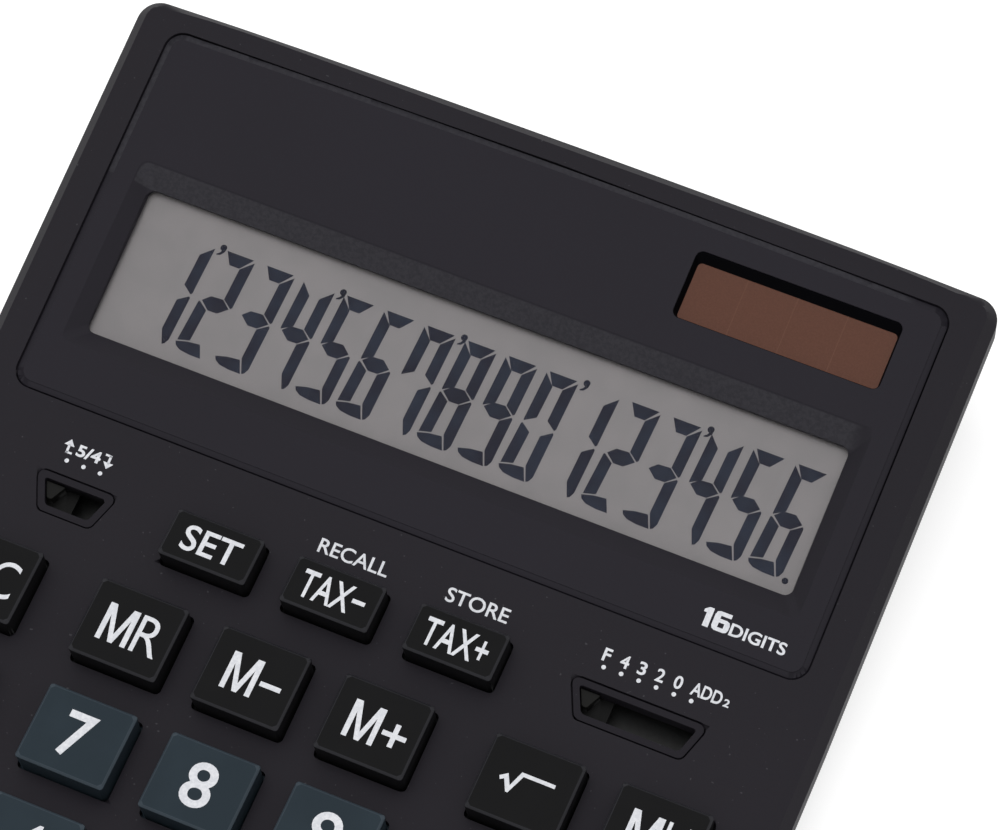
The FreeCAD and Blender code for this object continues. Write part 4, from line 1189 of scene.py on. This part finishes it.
# The dots by the two switches: how far along the deck each row lies, and its places across.
SWITCH_DOTS = [
    (-1.07, (-55.81, -52.75, -49.73)),
    (-0.85, (39.82, 42.85, 45.87, 48.89, 51.94, 54.93)),
]
DOT_RADIUS = 0.38

# The two arrows by the rounding switch: 1 for up or -1 for down, and where across.
ARROWS = [(1, -56.5), (-1, -49.2)]
ARROW_LEVEL = 1.3

# The broad 16, from its lower left corner: the 1, and the 6 in two parts that meet.
SIXTEEN_X = 51.3
SIXTEEN_Y = 11.3
SIXTEEN = [
    [(0.5, 0), (1.5, 0), (1.5, 3.3), (0.7, 3.3), (0, 2.75), (0, 2.3), (0.5, 2.3)],
    [
        (3.45, 0), (3.45, 0.65), (2.9, 0.65), (2.9, 1.45), (3.45, 1.45), (3.45, 2.1),
        (2.9, 2.1), (2.9, 2.6), (4.6, 2.6), (4.6, 3.3), (2.6, 3.3), (2.1, 3.1), (1.9, 2.6),
        (1.9, 0.7), (2.1, 0.2), (2.6, 0),
    ],
    [
        (3.45, 0), (4.1, 0), (4.6, 0.2), (4.8, 0.7), (4.8, 1.4), (4.6, 1.9), (4.1, 2.1),
        (3.45, 2.1), (3.45, 1.45), (3.85, 1.45), (3.85, 0.65), (3.45, 0.65),
    ],
]


def arrow(way, x):
    """An upright arrow with a short side stroke at its foot: 1 points up and -1 down."""
    foot, tip = ARROW_LEVEL - way * 1.15, ARROW_LEVEL + way * 1.3
    side = foot + way * 0.18
    return [
        bar(x, foot, x, tip - way * 0.9, 0.42),
        bar(x - way * 0.18, side, x + way * 0.95, side, 0.36),
        [(x - 0.92, tip - way * 1.1), (x + 0.92, tip - way * 1.1), (x, tip)],
    ]


def deck_lettering():
    """The words, dots and arrows printed on the case."""
    for name, (words, x, y, tall, wide, weight) in DECK_WORDS.items():
        lettering(f"{name}_mark", words, DISPLAY, x, y, tall, wide, "case", weight)
    dots = [disc(x, y, DOT_RADIUS) for y, places in SWITCH_DOTS for x in places]
    printed("switch_dots", dots, DECK, "case")
    arrows = [part for way, x in ARROWS for part in arrow(way, x)]
    printed("rounding_arrows", arrows, DISPLAY, "case")


def panel_lettering():
    """The number of digits, printed on the panel in front of the display."""
    sixteen = [[(x + SIXTEEN_X, y + SIXTEEN_Y) for x, y in part] for part in SIXTEEN]
    printed("sixteen_mark", sixteen, DISPLAY, "case")
    lettering("digits_mark", "DIGITS", DISPLAY, 61.1, 12.4, 2.15, 9.6, "case", 0.022)


# The studio, in metres: a white table and sky, dimmer to the object than to the camera.

TABLE_HALF = 30
SKY = 0.36
LAMP_PLACE = (-0.05, -0.05, 1.5)
LAMP_AIM = (0, 0.03, 0)
LAMP_POWER = 14


def seen(board):
    """1 for a ray from the camera, off a gloss or through a clear part, and 0 for the rest."""
    rays = ("Is Camera Ray", "Is Glossy Ray", "Is Transmission Ray")
    return sum(board.node("ShaderNodeLightPath", output=ray) for ray in rays).clamp()


def table():
    """A wide pale table that glows a little where it is seen, so that it looks white."""
    half = TABLE_HALF
    mesh = bpy.data.meshes.new("table")
    corners = [(-half, -half, 0), (half, -half, 0), (half, half, 0), (-half, half, 0)]
    mesh.from_pydata(corners, [], [(0, 1, 2, 3)])
    top = in_scene("table", mesh)
    board = Board("table_top")
    paper = board.mix(board.noise(40, 3, 0.5), (0.54, 0.54, 0.54), (0.58, 0.58, 0.58))
    sheet = board.surface(Base_Color=paper, Roughness=0.9)
    glow = board.node("ShaderNodeEmission", None, [(1, 1, 1, 1), 0.7])
    unlit = board.node("ShaderNodeEmission", None, [(0, 0, 0, 1), 0])
    extra = board.node("ShaderNodeMixShader", None, [seen(board), unlit, glow])
    paint(top, board.finish(board.node("ShaderNodeAddShader", None, [sheet, extra])))


def sky():
    """An even white sky that gives less light than it shows."""
    world = bpy.data.worlds.new("sky")
    bpy.context.scene.world = world
    board = Board("sky", world)
    dim = board.node("ShaderNodeBackground", None, [(1, 1, 1, 1), SKY])
    bright = board.node("ShaderNodeBackground", None, [(1, 1, 1, 1), 1])
    both = board.node("ShaderNodeMixShader", None, [seen(board), dim, bright])
    board.finish(both, "ShaderNodeOutputWorld")


def top_lamp():
    """A wide soft lamp high over the object."""
    light = bpy.data.lights.new("top_lamp", "AREA")
    light.shape = "RECTANGLE"
    light.size, light.size_y = 1.1, 0.9
    light.energy = LAMP_POWER
    lamp = in_scene("top_lamp", light)
    lamp.location = LAMP_PLACE
    lamp.visible_glossy = False
    lamp.rotation_mode = "QUATERNION"
    beam = Vector(LAMP_AIM) - Vector(LAMP_PLACE)
    lamp.rotation_quaternion = beam.to_track_quat("-Z", "Y")


def set_camera():
    """The photograph's place and angle, for a picture of 1000 by 830."""
    right = Vector((0.91724, 0.397595, -0.024281))
    down = Vector((0.345317, -0.824061, -0.449087))
    forward = right.cross(down).normalized()
    made = bpy.data.cameras.new("camera")
    made.sensor_width = 36
    made.lens = 152.389
    made.clip_start = 0.05
    holder = in_scene("camera", made)
    turn = Matrix((right, -down, -forward)).transposed().to_4x4()
    turn.translation = Vector((145.11, -226.638, 643.579)) * MM
    holder.matrix_world = turn
    bpy.context.scene.camera = holder


paint_nodes()
for key in [node for node in NODES if node.startswith("key_") and node != "key_mat"]:
    soften_key(key)
soften_upper_case()
soften_panel()
solar_bezel()
for switch in ("rounding", "decimal"):
    soften_switch(f"{switch}_surround", keen=1.73, wide=0.83, inward=0.6, top=0.2)
    soften_switch(f"{switch}_knob", keen=0.3, wide=0.3, inward=0.3, top=0.25)
for node in ("lower_case", "battery_door", "rubber_feet", "case_screws", "door_screw"):
    stand_for(welded(node), node)
display_figures()
key_lettering()
memory_lettering()
key_signs()
deck_lettering()
panel_lettering()
table()
sky()
top_lamp()
set_camera()
bpy.context.scene.view_settings.view_transform = "Standard"
